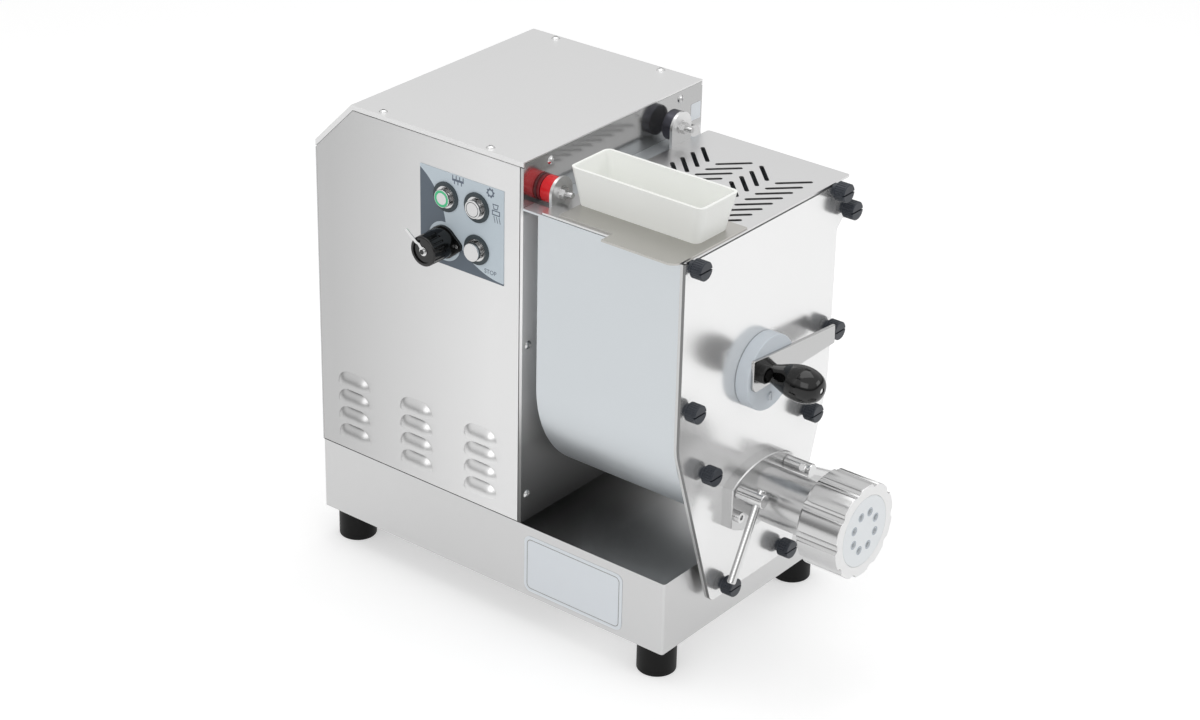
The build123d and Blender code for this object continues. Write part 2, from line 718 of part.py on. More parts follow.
def shaft_seals():
    made = []
    for z in (PADDLE_Z, auger_z):
        end = CASING_LENGTH + 0.1
        made.append(ring(AXIS_X, z, end - SEAL_WIDTH, end, SEAL_RADIUS, SHAFT_RADIUS + RUNNING))
        start = bulkhead_start - SEAL_WIDTH + TANK_WALL
        made.append(ring(AXIS_X, z, start, start + SEAL_WIDTH, SEAL_RADIUS, SHAFT_RADIUS + RUNNING))
    return made


def power_module():
    """Drive electronics in a finned box that stands on the deck."""
    left, right, back, front = POWER_BOX
    high = base_top + POWER_BOX_HEIGHT
    box = block(left, right, back, front, base_top, high)
    box = fillet(box.edges().filter_by(Axis.Z), 3)
    for i in range(POWER_FINS):
        x = left + POWER_FIN_PITCH * (i + 1)
        box -= block(x, x + POWER_FIN_GAP, back - 1, front + 1, high - POWER_FIN_DEPTH, high + 1)
    return box


# Tank


def keyhole(radius, channel):
    """Cross-section of the trough with the auger channel below it, drawn as (x, z)."""
    trough = Pos(AXIS_X, trough_z) * Circle(radius)
    walls = Pos(AXIS_X, (trough_z + TANK_TOP) / 2) * Rectangle(2 * radius, TANK_TOP - trough_z)
    below_top = Pos(AXIS_X, TANK_TOP - 200) * Rectangle(600, 400)
    return ((trough + walls) & below_top) + Pos(AXIS_X, auger_z) * Circle(channel)


def inner_keyhole():
    radius = TANK_RADIUS - TANK_WALL
    mouth = Pos(AXIS_X, TANK_TOP) * Rectangle(2 * radius, 40)
    return keyhole(radius, BARREL_BORE) + mouth


def mixing_tank():
    """Trough with its rear bulkhead, two bosses that meet the casing, and a flange at the top rear edge."""
    inside = bulkhead_start + TANK_WALL
    back = CASING_LENGTH + FIT
    tank = front_profile(keyhole(TANK_RADIUS, CHANNEL_OUTER), bulkhead_start, frame_start)
    tank -= front_profile(inner_keyhole(), inside, frame_start + 1)
    right = AXIS_X + TANK_RADIUS - 1
    flange = block(AXIS_X - TANK_RADIUS, right, back, inside, TANK_TOP - TANK_WALL, TANK_TOP)
    magnet_x = EARS["left"][0]
    side = MAGNET_RADIUS + MAGNET_NOTCH
    flange -= block(magnet_x - side, magnet_x + side, back - 1, bulkhead_start - 1,
                    TANK_TOP - TANK_WALL - 1, TANK_TOP + 1)
    tank += flange
    for z in (PADDLE_Z, auger_z):
        tank += rod(AXIS_X, z, back, inside, TANK_BOSS)
    for z in (PADDLE_Z, auger_z):
        tank -= rod(AXIS_X, z, back - 1, inside + 2, SEAL_RADIUS + PRESSED)
    return tank


def nearest_corner(face, x, z):
    return face.vertices().sort_by(lambda v: (v.X - x) ** 2 + (v.Y - z) ** 2)[0]


def panel_outline():
    """Outline of the panel and of the frame behind it, drawn as (x, z)."""
    top = TANK_TOP - PANEL_TOP_INSET
    neck_low = HINGE_Z - PANEL_EAR_RADIUS
    neck_start = neck_low - (HINGE_X - PANEL_RIGHT)
    body = make_face(Polyline([
        (PANEL_LEFT, top), (PANEL_LEFT, LEFT_SHOULDER), (PANEL_FOOT_LEFT, PANEL_BOTTOM),
        (PANEL_FOOT_RIGHT, PANEL_BOTTOM), (PANEL_RIGHT, RIGHT_SHOULDER), (PANEL_RIGHT, neck_start),
        (HINGE_X, neck_low), (HINGE_X, top)], close=True))
    rounds = [(PANEL_FOOT_LEFT, PANEL_BOTTOM, PANEL_FOOT_ROUND),
              (PANEL_FOOT_RIGHT, PANEL_BOTTOM, PANEL_FOOT_ROUND),
              (PANEL_LEFT, LEFT_SHOULDER, LEFT_ROUND), (PANEL_RIGHT, RIGHT_SHOULDER, RIGHT_ROUND),
              (PANEL_RIGHT, neck_start, 6), (HINGE_X, top, 7)]
    for x, z, radius in rounds:
        body = fillet(nearest_corner(body, x, z), radius)
    return body + Pos(HINGE_X, HINGE_Z) * Circle(PANEL_EAR_RADIUS)


def frame_opening():
    low = Pos(AXIS_X, PADDLE_Z) * Circle(FRAME_OPENING)
    high = TANK_TOP - FRAME_TOP_BAR
    walls = Pos(AXIS_X, (PADDLE_Z + high) / 2) * Rectangle(2 * FRAME_OPENING, high - PADDLE_Z)
    return low + walls + Pos(AXIS_X, auger_z) * Circle(BARREL_BORE)


def front_frame():
    """Frame welded to the tank's front end, and the weld studs on it that carry the panel and clamps."""
    frame = front_profile(panel_outline() - frame_opening(), frame_start, panel_start)
    for side in (-1, 1):
        frame += rod(AXIS_X + side * FRAME_PAD_X, FRAME_PAD_Z, BASE_LENGTH, frame_start, FRAME_PAD_RADIUS)
    frame -= rod(HINGE_X, HINGE_Z, frame_start - 1, panel_start + 1, HINGE_PIN_RADIUS + HOLE_GAP)
    studs = [rod(x, z, panel_start, panel_face + STUD_REACH, STUD_RADIUS) for x, z in KNOB_PLACES.values()]
    for x, z in clamp_places().values():
        studs.append(rod(x, z, panel_start, panel_face + CLAMP_STUD_REACH, CLAMP_STUD_RADIUS))
    return [frame] + studs


def clamp_places():
    """Clamp studs, as (x, z)."""
    z = auger_z + CLAMP_RISE
    return {"left": (AXIS_X - CLAMP_X, z), "right": (AXIS_X + CLAMP_X, z)}


def front_panel():
    panel = front_profile(panel_outline(), panel_start, panel_face)
    panel = chamfer(panel.faces().sort_by(Axis.Y)[0].edges(), 0.4)
    for x, z in KNOB_PLACES.values():
        panel -= rod(x, z, panel_start - 1, panel_face + 1, STUD_RADIUS + HOLE_GAP)
    for x, z in clamp_places().values():
        panel -= rod(x, z, panel_start - 1, panel_face + 1, CLAMP_STUD_RADIUS + HOLE_GAP)
    panel -= rod(AXIS_X, PADDLE_Z, panel_start - 1, panel_face + 1, SPIGOT_RADIUS + RUNNING)
    panel -= rod(AXIS_X, auger_z, panel_start - 1, panel_face + 1, BARREL_BORE)
    return panel - rod(HINGE_X, HINGE_Z, panel_start - 1, panel_face + 1, HINGE_PIN_RADIUS + HOLE_GAP)


def panel_knob(x, z, bore_depth):
    """Knurled and slotted knob on a stud at (x, z), its neck against the panel."""
    neck = rod(x, z, panel_face, panel_face + KNOB_NECK + 1, KNOB_NECK_RADIUS)
    face = panel_face + KNOB_NECK + KNOB_HEAD
    head = rod(x, z, panel_face + KNOB_NECK, face, KNOB_RADIUS)
    head = chamfer(head.edges().filter_by(GeomType.CIRCLE), 0.8)
    outline = Circle(KNOB_RADIUS + 2)
    grooves = [Rot(0, 0, i * 360 / KNOB_RIBS) * Pos(KNOB_RADIUS + 0.3, 0) * Circle(KNOB_RIB_RADIUS)
               for i in range(KNOB_RIBS)]
    ribs = front_profile(Pos(x, z) * (Sketch() + grooves), panel_face + KNOB_NECK + 1.5, face - 1.5)
    slot = block(x - KNOB_RADIUS, x + KNOB_RADIUS, face - 2, face + 1, z - 0.8, z + 0.8)
    bore = rod(x, z, panel_face - 1, panel_face + bore_depth, STUD_RADIUS + RUNNING)
    return neck + head - ribs - slot - bore


def lid_pivot_knob():
    """Knob whose own pin passes through the panel and the lid's front lug."""
    knob = panel_knob(HINGE_X, HINGE_Z, 0.5)
    return knob + rod(HINGE_X, HINGE_Z, front_lug_start - 3, panel_face + 2, HINGE_PIN_RADIUS)


# Lid


def hinge_lug(start):
    """Lug that hangs from the lid's right edge and turns on the hinge pins."""
    x = HINGE_X + LUG_SHIFT
    high = LID_Z + 1
    strap = Pos(x, (HINGE_Z + high) / 2) * Rectangle(2 * HINGE_LUG_RADIUS, high - HINGE_Z)
    lug = front_profile(Pos(x, HINGE_Z) * Circle(HINGE_LUG_RADIUS) + strap, start, start + EAR_THICK)
    return lug - rod(HINGE_X, HINGE_Z, start - 1, start + EAR_THICK + 1, HINGE_PIN_RADIUS + RUNNING)


def ear(x, z):
    """Upright tab of the lid, round at its top, cut level with the lid's underside."""
    above = Pos(x, LID_Z + EAR_RADIUS * 2) * Rectangle(4 * EAR_RADIUS, 4 * EAR_RADIUS)
    stem = Pos(x, (LID_Z + z) / 2) * Rectangle(2 * EAR_RADIUS, z - LID_Z)
    back = lid_start - EAR_THICK
    plate = front_profile((Pos(x, z) * Circle(EAR_RADIUS) & above) + stem, back, lid_start)
    bend = block(x - EAR_RADIUS, x + EAR_RADIUS, back, lid_start + 3, LID_Z, LID_Z + LID_SHEET)
    return plate + bend - rod(x, z, back - 1, lid_start + 1, EAR_STUD_RADIUS + HOLE_GAP)


def lid_slots():
    """Herringbone of slots: rows that lean one way and the other."""
    made = []
    middle = (lid_start + lid_end) / 2
    for row, offset in enumerate(SLOT_ROWS):
        lean = 45 if row % 2 == 0 else -45
        for i in range(SLOT_COUNT):
            x = SLOT_LAST_X - i * SLOT_PITCH
            slot = extrude(SlotOverall(SLOT_LENGTH, SLOT_WIDTH), 5, both=True)
            made.append(Pos(x, -middle - offset, LID_Z) * Rot(0, 0, lean) * slot)
    return made


def feed_cut(low, high):
    x0, x1, back, front = FEED_SLOT
    return block(x0, x1, lid_start + back, lid_end - front, low, high)


def lid():
    sheet = block(0, LID_WIDTH, lid_start, lid_end, LID_Z, LID_Z + LID_SHEET)
    sheet = fillet(sheet.edges().filter_by(Axis.Z), 3)
    top = LID_Z + 1
    for start in (front_hem_start, rear_hem_start):
        sheet += block(*HEM_ENDS, start, start + LID_SHEET, LID_Z - HEM, top)
    sheet += block(HEM_INSET, HEM_INSET + LID_SHEET, rear_hem_start + 1, front_hem_start, LID_Z - HEM, top)
    sheet += block(LID_WIDTH - LID_SHEET, LID_WIDTH, lid_start + 6, front_lug_start - 3, LID_Z - RIGHT_HEM,
                   top)
    for x, z in EARS.values():
        sheet += ear(x, z)
    sheet = sheet + hinge_lug(lid_start) + hinge_lug(front_lug_start)
    return sheet - lid_slots() - feed_cut(LID_Z - 5, LID_Z + 5)


def interlock_magnet():
    x, z = EARS["left"]
    start = CASING_LENGTH + SENSOR_LENGTH + MAGNET_GAP
    disc = rod(x, z, start, lid_start - EAR_THICK, MAGNET_RADIUS)
    disc = fillet(disc.edges().filter_by(GeomType.CIRCLE), 0.8)
    return disc - rod(x, z, start + 3, lid_start, EAR_STUD_RADIUS + 0.1)


def interlock_sensor():
    x, z = EARS["left"]
    disc = rod(x, z, CASING_LENGTH, CASING_LENGTH + SENSOR_LENGTH, MAGNET_RADIUS)
    return fillet(disc.edges().filter_by(GeomType.CIRCLE), 0.8)


def lid_bumper():
    x, z = EARS["right"]
    end = lid_start - EAR_THICK
    disc = rod(x, z, end - BUMPER_LENGTH, end, BUMPER_RADIUS)
    disc = fillet(disc.edges().filter_by(GeomType.CIRCLE), 0.8)
    return disc - rod(x, z, end - 4, lid_start, EAR_STUD_RADIUS + 0.1)


def ear_bolts():
    made = []
    for x, z in EARS.values():
        washer = rod(x, z, lid_start, lid_start + 1.2, 7)
        nut = front_hexagon(x, z, 5, lid_start + 1.2, lid_start + 6)
        made.append(washer + nut + rod(x, z, lid_start - 6.5, lid_start + 13, EAR_STUD_RADIUS))
    return made


def rear_hinge_bracket():
    """Bracket on the casing whose pin carries the lid's rear lug."""
    left, right, low, high = BRACKET
    middle = (left + right) / 2
    outline = Pos(middle, high) * Circle((right - left) / 2)
    outline += Pos(middle, (low + high) / 2) * Rectangle(right - left, high - low)
    plate = front_profile(outline, CASING_LENGTH, CASING_LENGTH + BRACKET_THICK)
    boss = rod(HINGE_X, HINGE_Z, CASING_LENGTH + 3, lid_start - 0.5, HINGE_BOSS_RADIUS)
    return plate + boss + rod(HINGE_X, HINGE_Z, lid_start - 1, lid_start + EAR_THICK + 3, HINGE_PIN_RADIUS)


def tray_plate():
    low = LID_Z + LID_SHEET
    start = lid_start + TRAY_PLATE_SETBACK
    step = lid_start + TRAY_STEP
    end = lid_end - 1
    outline = make_face(Polyline([
        (3, -start), (TRAY_PLATE_RIGHT, -start), (TRAY_PLATE_RIGHT, -end),
        (-TRAY_OVERHANG, -end), (-TRAY_OVERHANG, -step), (3, -step)], close=True))
    corner = outline.vertices().sort_by(Axis.X)[0:2].sort_by(Axis.Y)[0]
    outline = fillet(corner, 11)
    plate = extrude(Plane.XY.offset(low) * outline, TRAY_PLATE)
    return plate - feed_cut(low - 1, low + 5)


def tray_shape(inset, low, high):
    """Flared box of the loading tray, inset by a wall."""
    def level(corners, z):
        x0, x1, back, front = corners
        d0 = lid_start + back
        d1 = lid_end - front
        size = RectangleRounded(x1 - x0 - 2 * inset, d1 - d0 - 2 * inset, max(7 - inset, 2))
        return Pos((x0 + x1) / 2, -(d0 + d1) / 2, z) * size
    return loft([level(TRAY_BOTTOM, low), level(TRAY_RIM, high)])


def loading_tray():
    low = LID_Z + LID_SHEET + TRAY_PLATE + LIFT_GAP
    high = low + TRAY_HEIGHT
    tray = tray_shape(0, low, high) - tray_shape(TRAY_WALL, low + TRAY_WALL, high + 0.01)
    return tray - feed_cut(low - 1, low + TRAY_WALL + 1)


# Paddle, bush and lever


def mixing_paddle():
    shaft = rod(AXIS_X, PADDLE_Z, rear_plate_start - 3, panel_face + 9, SHAFT_RADIUS)
    middle = (bulkhead_start + frame_start) / 2
    for i in range(ARMS):
        d = middle + (i - (ARMS - 1) / 2) * ARM_PITCH
        arm = Pos(0, 0, (PADDLE_RADIUS - 6) / 2) * Cylinder(ARM_RADIUS, PADDLE_RADIUS - 6)
        blade = Box(*BLADE).rotate(Axis.Z, BLADE_TWIST)
        blade = Pos(0, 0, PADDLE_RADIUS - BLADE[2] / 2 - 3) * blade
        shaft += Pos(AXIS_X, -d, PADDLE_Z) * Rot(0, 45 + 90 * i, 0) * (arm + blade)
    return shaft


def shaft_bush():
    disc = rod(AXIS_X, PADDLE_Z, panel_face + FIT, panel_face + BUSH_LENGTH, BUSH_RADIUS)
    disc = fillet(disc.edges().filter_by(GeomType.CIRCLE), 1.2)
    disc += rod(AXIS_X, PADDLE_Z, panel_start - 2, panel_face + 1, SPIGOT_RADIUS)
    disc -= rod(AXIS_X, PADDLE_Z, panel_start - 3, panel_face + 10, SHAFT_RADIUS + RUNNING)
    return disc - rod(AXIS_X, PADDLE_Z - BUSH_SCREW_DROP, panel_face + 8, panel_face + 20,
                      BUSH_SCREW_RADIUS + 0.1)


def lever_face():
    return panel_face + BUSH_LENGTH + LEVER_THICK


def retaining_bar():
    """Tapered lever bar across the bush; its free end is round about the bush's axis."""
    left_low, left_high = LEVER_LEFT_LEVELS
    right_low, right_high = LEVER_RIGHT_LEVELS
    end = AXIS_X + LEVER_REACH + 1
    outline = make_face(Polyline([
        (LEVER_LEFT, left_low), (end, right_low), (end, right_high), (LEVER_LEFT, left_high)], close=True))
    outline = fillet(nearest_corner(outline, LEVER_LEFT, left_low), LEVER_LOW_ROUND)
    outline = fillet(nearest_corner(outline, LEVER_LEFT, left_high), LEVER_HIGH_ROUND)
    outline = outline & Pos(AXIS_X, PADDLE_Z) * Circle(LEVER_REACH)
    bar = front_profile(outline, panel_face + BUSH_LENGTH, lever_face())
    return fillet(bar.faces().sort_by(Axis.Y)[0].edges(), 0.8)


def lever_fasteners():
    """Black hub bolt at the bar's left end, and the slotted screw in the bush."""
    x, z = LEVER_HUB
    face = lever_face()
    hub = rod(x, z, face, face + HUB_LENGTH, HUB_RADIUS)
    hub = chamfer(hub.faces().sort_by(Axis.Y)[0].edges(), 1.2)
    recess_radius, recess = HUB_RECESS
    hub -= rod(x, z, face + HUB_LENGTH - recess, face + HUB_LENGTH + 1, recess_radius)
    hub += front_hexagon(x, z, HUB_NUT_FLAT, face + 2, face + HUB_LENGTH + 1)
    low = PADDLE_Z - BUSH_SCREW_DROP
    end = panel_face + BUSH_LENGTH
    screw = rod(AXIS_X, low, end - 6, end, BUSH_SCREW_RADIUS) + rod(AXIS_X, low, end, end + 1.8, 4.5)
    return [hub, screw - block(AXIS_X - 0.6, AXIS_X + 0.6, end + 0.8, end + 3, low - 6, low + 6)]


def bar_grip():
    """Egg-shaped grip on the bush's axis, thickest past its middle."""
    face = lever_face()
    curve = [(GRIP_NECK, 0), (GRIP_NECK + 2.3, 0.13 * GRIP_LENGTH), (0.9 * GRIP_RADIUS, 0.36 * GRIP_LENGTH),
             (GRIP_RADIUS, 0.62 * GRIP_LENGTH), (0.67 * GRIP_RADIUS, 0.93 * GRIP_LENGTH), (0, GRIP_LENGTH)]
    outline = make_face(
        Line((0, 0), (GRIP_NECK, 0)) + Spline(curve, tangents=[(0.25, 1), (-1, 0)])
        + Line((0, GRIP_LENGTH), (0, 0)))
    egg = revolve(Plane.XZ * outline, Axis.Z)
    grip = facing_front(AXIS_X, face, PADDLE_Z) * egg
    return grip - rod(AXIS_X, PADDLE_Z, face + GRIP_LENGTH - 2.5, face + GRIP_LENGTH + 1, GRIP_SCREW_RADIUS)


# Extruder


def auger():
    end = panel_face + DIE_SEAT - 4
    start = bulkhead_start + TANK_WALL + 1
    radius = BARREL_BORE - AUGER_CLEARANCE
    drive = rod(AXIS_X, auger_z, rear_plate_start - 3, start + 4, SHAFT_RADIUS)
    core = rod(AXIS_X, auger_z, start, end, AUGER_CORE)
    length = end - start - 10
    path = Helix(AUGER_PITCH, length, radius - 4)
    middle = (AUGER_CORE - 2 + radius) / 2
    start_plane = Plane(origin=(radius - 4, 0, 0), x_dir=(1, 0, 0), z_dir=path % 0)
    section = start_plane * Pos(middle - radius + 4, 0) * Rectangle(radius - AUGER_CORE + 2, AUGER_FLIGHT)
    flight = sweep(section, path, is_frenet=True)
    return drive + core + facing_front(AXIS_X, start + 5, auger_z) * flight


def barrel_flange_outline():
    ellipse = Pos(AXIS_X, auger_z) * Ellipse(*FLANGE_ELLIPSE)
    return ellipse & Pos(AXIS_X, auger_z) * Rectangle(2 * FLANGE_HALF_WIDTH, 200)


def barrel():
    body = front_profile(barrel_flange_outline(), panel_face, panel_face + FLANGE_THICK)
    body = chamfer(body.faces().sort_by(Axis.Y)[0].edges(), 1.0)
    body += rod(AXIS_X, auger_z, panel_face, panel_face + HEAD_START + 1, BARREL_RADIUS)
    body += rod(AXIS_X, auger_z, panel_face + HEAD_START, panel_face + DIE_SEAT, HEAD_RADIUS)
    body -= rod(AXIS_X, auger_z, panel_face - 1, panel_face + DIE_SEAT + 1, BARREL_BORE)
    face = panel_face + FLANGE_THICK
    for x, z in clamp_places().values():
        body -= rod(x, z, panel_face - 1, face + 1, CLAMP_STUD_RADIUS + HOLE_GAP)
    for x, z in flange_screw_places():
        body -= rod(x, z, panel_face + 2, face + 1, FLANGE_SCREW_SHANK[0] + FIT)
    return body


def flange_screw_places():
    across, rise = FLANGE_SCREW
    return [(AXIS_X - across, auger_z + rise), (AXIS_X + across, auger_z + rise)]


def die():
    seat = panel_face + DIE_SEAT
    lip = panel_face + EXTRUDER_REACH - RING_LIP
    disc = rod(AXIS_X, auger_z, seat, lip, DIE_RADIUS)
    disc += rod(AXIS_X, auger_z, lip - 1, panel_face + EXTRUDER_REACH, RING_WINDOW - 0.3)
    for i in range(DIE_HOLES):
        turn = radians(22.5 + i * 360 / DIE_HOLES)
        x = AXIS_X + DIE_HOLE_CIRCLE * cos(turn)
        z = auger_z + DIE_HOLE_CIRCLE * sin(turn)
        disc -= rod(x, z, seat - 1, panel_face + EXTRUDER_REACH + 1, DIE_HOLE_RADIUS)
    return disc


def ring_nut():
    front = panel_face + EXTRUDER_REACH
    back = front - RING_LENGTH
    nut = rod(AXIS_X, auger_z, back, front, RING_RADIUS)
    nut = chamfer(nut.faces().sort_by(Axis.Y)[-1].edges(), 3.0)
    nut = chamfer(nut.faces().sort_by(Axis.Y)[0].edges(), 0.8)
    flute = Pos(RING_RADIUS + FLUTE_RADIUS - FLUTE_DEPTH, 0) * Circle(FLUTE_RADIUS)
    flutes = [Rot(0, 0, i * 360 / FLUTES) * flute for i in range(FLUTES)]
    nut -= front_profile(Pos(AXIS_X, auger_z) * (Sketch() + flutes), back - 1, front + 1)
    nut -= rod(AXIS_X, auger_z, back - 1, front - RING_LIP, HEAD_RADIUS + 0.1)
    return nut - rod(AXIS_X, auger_z, front - RING_LIP - 1, front + 1, RING_WINDOW)


def clamp_handle(side):
    """Clamp nut on its stud with a long tommy bar fixed across its outer end."""
    x, z = clamp_places()[side]
    start = panel_face + FLANGE_THICK
    end = start + CLAMP_NUT_LENGTH
    nut = rod(x, z, start, end, CLAMP_NUT_RADIUS)
    nut = chamfer(nut.edges().filter_by(GeomType.CIRCLE), 0.8)
    bar = side_rod(0, 0, -TOMMY_TAIL, TOMMY_LENGTH, TOMMY_RADIUS)
    bar = fillet(bar.edges().filter_by(GeomType.CIRCLE), 1.0)
    nut += Pos(x, CLAMP_NUT_RADIUS - end, z) * Rot(0, -TOMMY_ANGLES[side], 0) * bar
    return nut - rod(x, z, start - 1, panel_face + CLAMP_STUD_REACH + 0.5, CLAMP_STUD_RADIUS + RUNNING)


def flange_screws():
    made = []
    face = panel_face + FLANGE_THICK
    head_radius, head = FLANGE_SCREW_HEAD
    radius, shank = FLANGE_SCREW_SHANK
    for x, z in flange_screw_places():
        screw = rod(x, z, face, face + head, head_radius) + rod(x, z, face - shank, face, radius)
        made.append(screw - front_hexagon(x, z, 2.5, face + head / 2, face + head + 1))
    return made


# Controls


def control_label():
    back, front, z0, z1 = LABEL
    plate = block(-LABEL_THICK, 0, CASING_LENGTH - back, CASING_LENGTH - front, z0, z1)
    for cut in label_cuts():
        plate -= cut
    return plate


def button_housings():
    """Dark ring, metal bezel and threaded barrel of each push button."""
    made = []
    for d, z in button_places.values():
        body = side_rod(d, z, label_face - BUTTON_RING_THICK, label_face, BUTTON_RING)
        body += side_rod(d, z, label_face - BUTTON_BEZEL_STAND, label_face, BUTTON_BEZEL)
        body += side_rod(d, z, label_face - 1, BUTTON_DEPTH, BUTTON_BARREL)
        body += side_rod(d, z, CASING_SHEET, CASING_SHEET + BUTTON_NUT[1], BUTTON_NUT[0])
        floor = BUTTON_STEM_REACH + BUTTON_TRAVEL + 1
        body -= side_rod(d, z, label_face - BUTTON_BEZEL_STAND - 1, label_face + floor, BUTTON_STEM + FIT)
        made.append(body)
    return made


def button_cap(name):
    """Cap on a stem; its travel ends just above the bezel."""
    d, z = button_places[name]
    back = label_face - BUTTON_BEZEL_STAND - BUTTON_TRAVEL - FIT
    cap = side_rod(d, z, back - BUTTON_CAP_THICK[name], back, BUTTON_CAP)
    cap = fillet(cap.edges().filter_by(GeomType.CIRCLE), 0.5)
    return cap + side_rod(d, z, back, label_face + BUTTON_STEM_REACH, BUTTON_STEM)


def socket_flange():
    d, z = socket_depth, SOCKET[1]
    long, tall = SOCKET_FLANGE
    ends = [SOCKET_END_RADIUS - long, long - SOCKET_END_RADIUS]
    rounds = Sketch() + [Pos(end, 0) * Circle(SOCKET_END_RADIUS) for end in ends] + Circle(tall)
    outline = make_hull(rounds.edges())
    body = Pos(label_face, 0, 0) * extrude(Plane.YZ * Pos(-d, z) * outline, -SOCKET_FLANGE_THICK)
    body += side_rod(d, z, label_face - 9, label_face, SOCKET_NECK_RADIUS)
    body += side_rod(d, z, label_face - 1, 18, SOCKET_BODY_RADIUS)
    for end in ends:
        body -= side_rod(d + end, z, label_face - 4, label_face - 1.5, 2.2)
    return body - side_rod(d, z, label_face - 10, 12, SOCKET_BORE_RADIUS)


def socket_cap():
    d, z = socket_depth, SOCKET[1]
    back = label_face - SOCKET_FLANGE_THICK - 0.3
    cap = side_rod(d, z, -CAP_REACH, back, CAP_RADIUS)
    cap = fillet(cap.faces().sort_by(Axis.X)[0].edges(), 1.5)
    ribs = [Rot(0, 0, i * 360 / CAP_RIBS) * Pos(CAP_RADIUS + 0.2, 0) * Circle(1.1) for i in range(CAP_RIBS)]
    grooves = extrude(Plane.YZ.offset(-CAP_REACH + 2) * Pos(-d, z) * (Sketch() + ribs), 15)
    cap = cap - grooves - side_rod(d, z, -CAP_REACH - 1, -CAP_REACH + CAP_DISH, CAP_RADIUS - 3.5)
    return cap - side_rod(d, z, label_face - 9.5, back + 1, SOCKET_NECK_RADIUS + FIT)


def cap_strap():
    """Retaining strap of the cap: an eyelet under the cap's centre screw and a stiff tail past its rim."""
    d, z = socket_depth, SOCKET[1]
    face = -CAP_REACH + CAP_DISH
    high = face - STRAP_THICK
    eyelet = side_rod(d, z, high, face, STRAP_EYE) + side_rod(d, z, high - 1.6, face, 2.2)
    eyelet -= block(high - 3, high - 1, d - 0.5, d + 0.5, z - 3, z + 3)
    under = [(face, 0), (face, CAP_RADIUS - 7), (-CAP_REACH - 0.3, CAP_RADIUS - 4.5),
             (-CAP_REACH - 4, STRAP_REACH)]
    over = [(x - STRAP_THICK, reach) for x, reach in reversed(under)]
    tail = extrude(make_face(Polyline(under + over, close=True)), STRAP_WIDTH / 2, both=True)
    tail = tail - Rot(0, 90, 0) * Cylinder(2.0, 200)
    return eyelet + Pos(0, -d, z) * Rot(STRAP_TURN, 0, 0) * tail


SINGLE_PARTS = [
    base_tray, base_bottom_plate, side_panel_left, side_panel_right, top_cover, casing_front_plate,
    casing_rear_plate, cable_gland, control_label, socket_flange, socket_cap, cap_strap, gearmotor,
    motor_pinion, gearbox_rear_plate, gearbox_front_plate, paddle_gear, auger_gear, power_module,
    mixing_tank, front_panel, lid_pivot_knob, lid, interlock_magnet, interlock_sensor,
    lid_bumper, rear_hinge_bracket, tray_plate, loading_tray, mixing_paddle, shaft_bush, retaining_bar,
    bar_grip, auger, barrel, die, ring_nut,
]
GROUPED_PARTS = [
    feet, frame_bolts, casing_screws, button_housings, shaft_bearings, shaft_seals, front_frame,
    ear_bolts, lever_fasteners, flange_screws,
]


def build_all():
    made = {make.__name__: make() for make in SINGLE_PARTS}
    for make in GROUPED_PARTS:
        made[make.__name__] = Compound(children=make())
    for name in BUTTON_PLACES:
        made[name] = button_cap(name)
    for place, (x, z) in KNOB_PLACES.items():
        made["knob_" + place] = panel_knob(x, z, STUD_REACH + 0.5)
    for side in TOMMY_ANGLES:
        made["clamp_handle_" + side] = clamp_handle(side)
    return made


def main():
    os.makedirs("parts", exist_ok=True)
    made = build_all()
    boxes = [shape.bounding_box() for shape in made.values()]
    low = [min(getattr(box.min, axis) for box in boxes) for axis in "XYZ"]
    high = [max(getattr(box.max, axis) for box in boxes) for axis in "XYZ"]
    shift = Pos(-(low[0] + high[0]) / 2, -(low[1] + high[1]) / 2, -low[2])
    for name, shape in made.items():
        export_step(shift * shape, os.path.join("parts", name + ".step"))
        print(name, len(shape.solids()), "solids", round(shape.volume), "mm3", shape.is_valid)
    print("box low", low, "high", high, "parts", len(made))
    print("shift", shift.position)
    print("auger z", auger_z, "motor x z", motor_x, motor_z)


main()
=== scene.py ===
"""Dresses the pasta machine's frame, adds its printed and pressed pieces, and sets up the studio."""

import json
from math import atan2, cos, pi, radians, sin

import bpy
from mathutils import Matrix, Vector


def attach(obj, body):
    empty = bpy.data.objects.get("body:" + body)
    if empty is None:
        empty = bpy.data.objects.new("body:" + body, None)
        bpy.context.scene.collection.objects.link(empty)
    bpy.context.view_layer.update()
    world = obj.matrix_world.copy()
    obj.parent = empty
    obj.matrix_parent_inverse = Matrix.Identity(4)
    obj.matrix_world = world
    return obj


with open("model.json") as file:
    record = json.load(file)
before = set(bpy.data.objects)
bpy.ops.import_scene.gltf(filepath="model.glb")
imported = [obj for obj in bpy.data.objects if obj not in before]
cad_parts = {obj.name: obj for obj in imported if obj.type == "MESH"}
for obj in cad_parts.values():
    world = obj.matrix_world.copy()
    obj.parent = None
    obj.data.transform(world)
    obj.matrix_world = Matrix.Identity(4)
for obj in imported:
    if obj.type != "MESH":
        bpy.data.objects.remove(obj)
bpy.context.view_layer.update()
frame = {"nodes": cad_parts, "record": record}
parts = frame["nodes"]

MM = 0.001

# The machine's own measures, in millimetres: x from its left side, d forward of its rear face and
# z above the table. The frame's origin is on the table, at MIDDLE_X and MIDDLE_D.
MIDDLE_X = 124.35
MIDDLE_D = 290.25
LEFT_SIDE = 0.0
CASING_FRONT = 270.0
RING_FACE = 593.5

# Camera, solved from the photograph's straight edges: its place in the machine's own measures, its
# angles in degrees, its focal length in millimetres and its shift
CAMERA_AT = (-1871.81, 1819.99, 1549.75)
CAMERA_TURN = -50.118
CAMERA_RISE = 26.84
CAMERA_ROLL = 0.378
CAMERA_LENS = 84.8
CAMERA_SHIFT = (0.0742, -0.017)


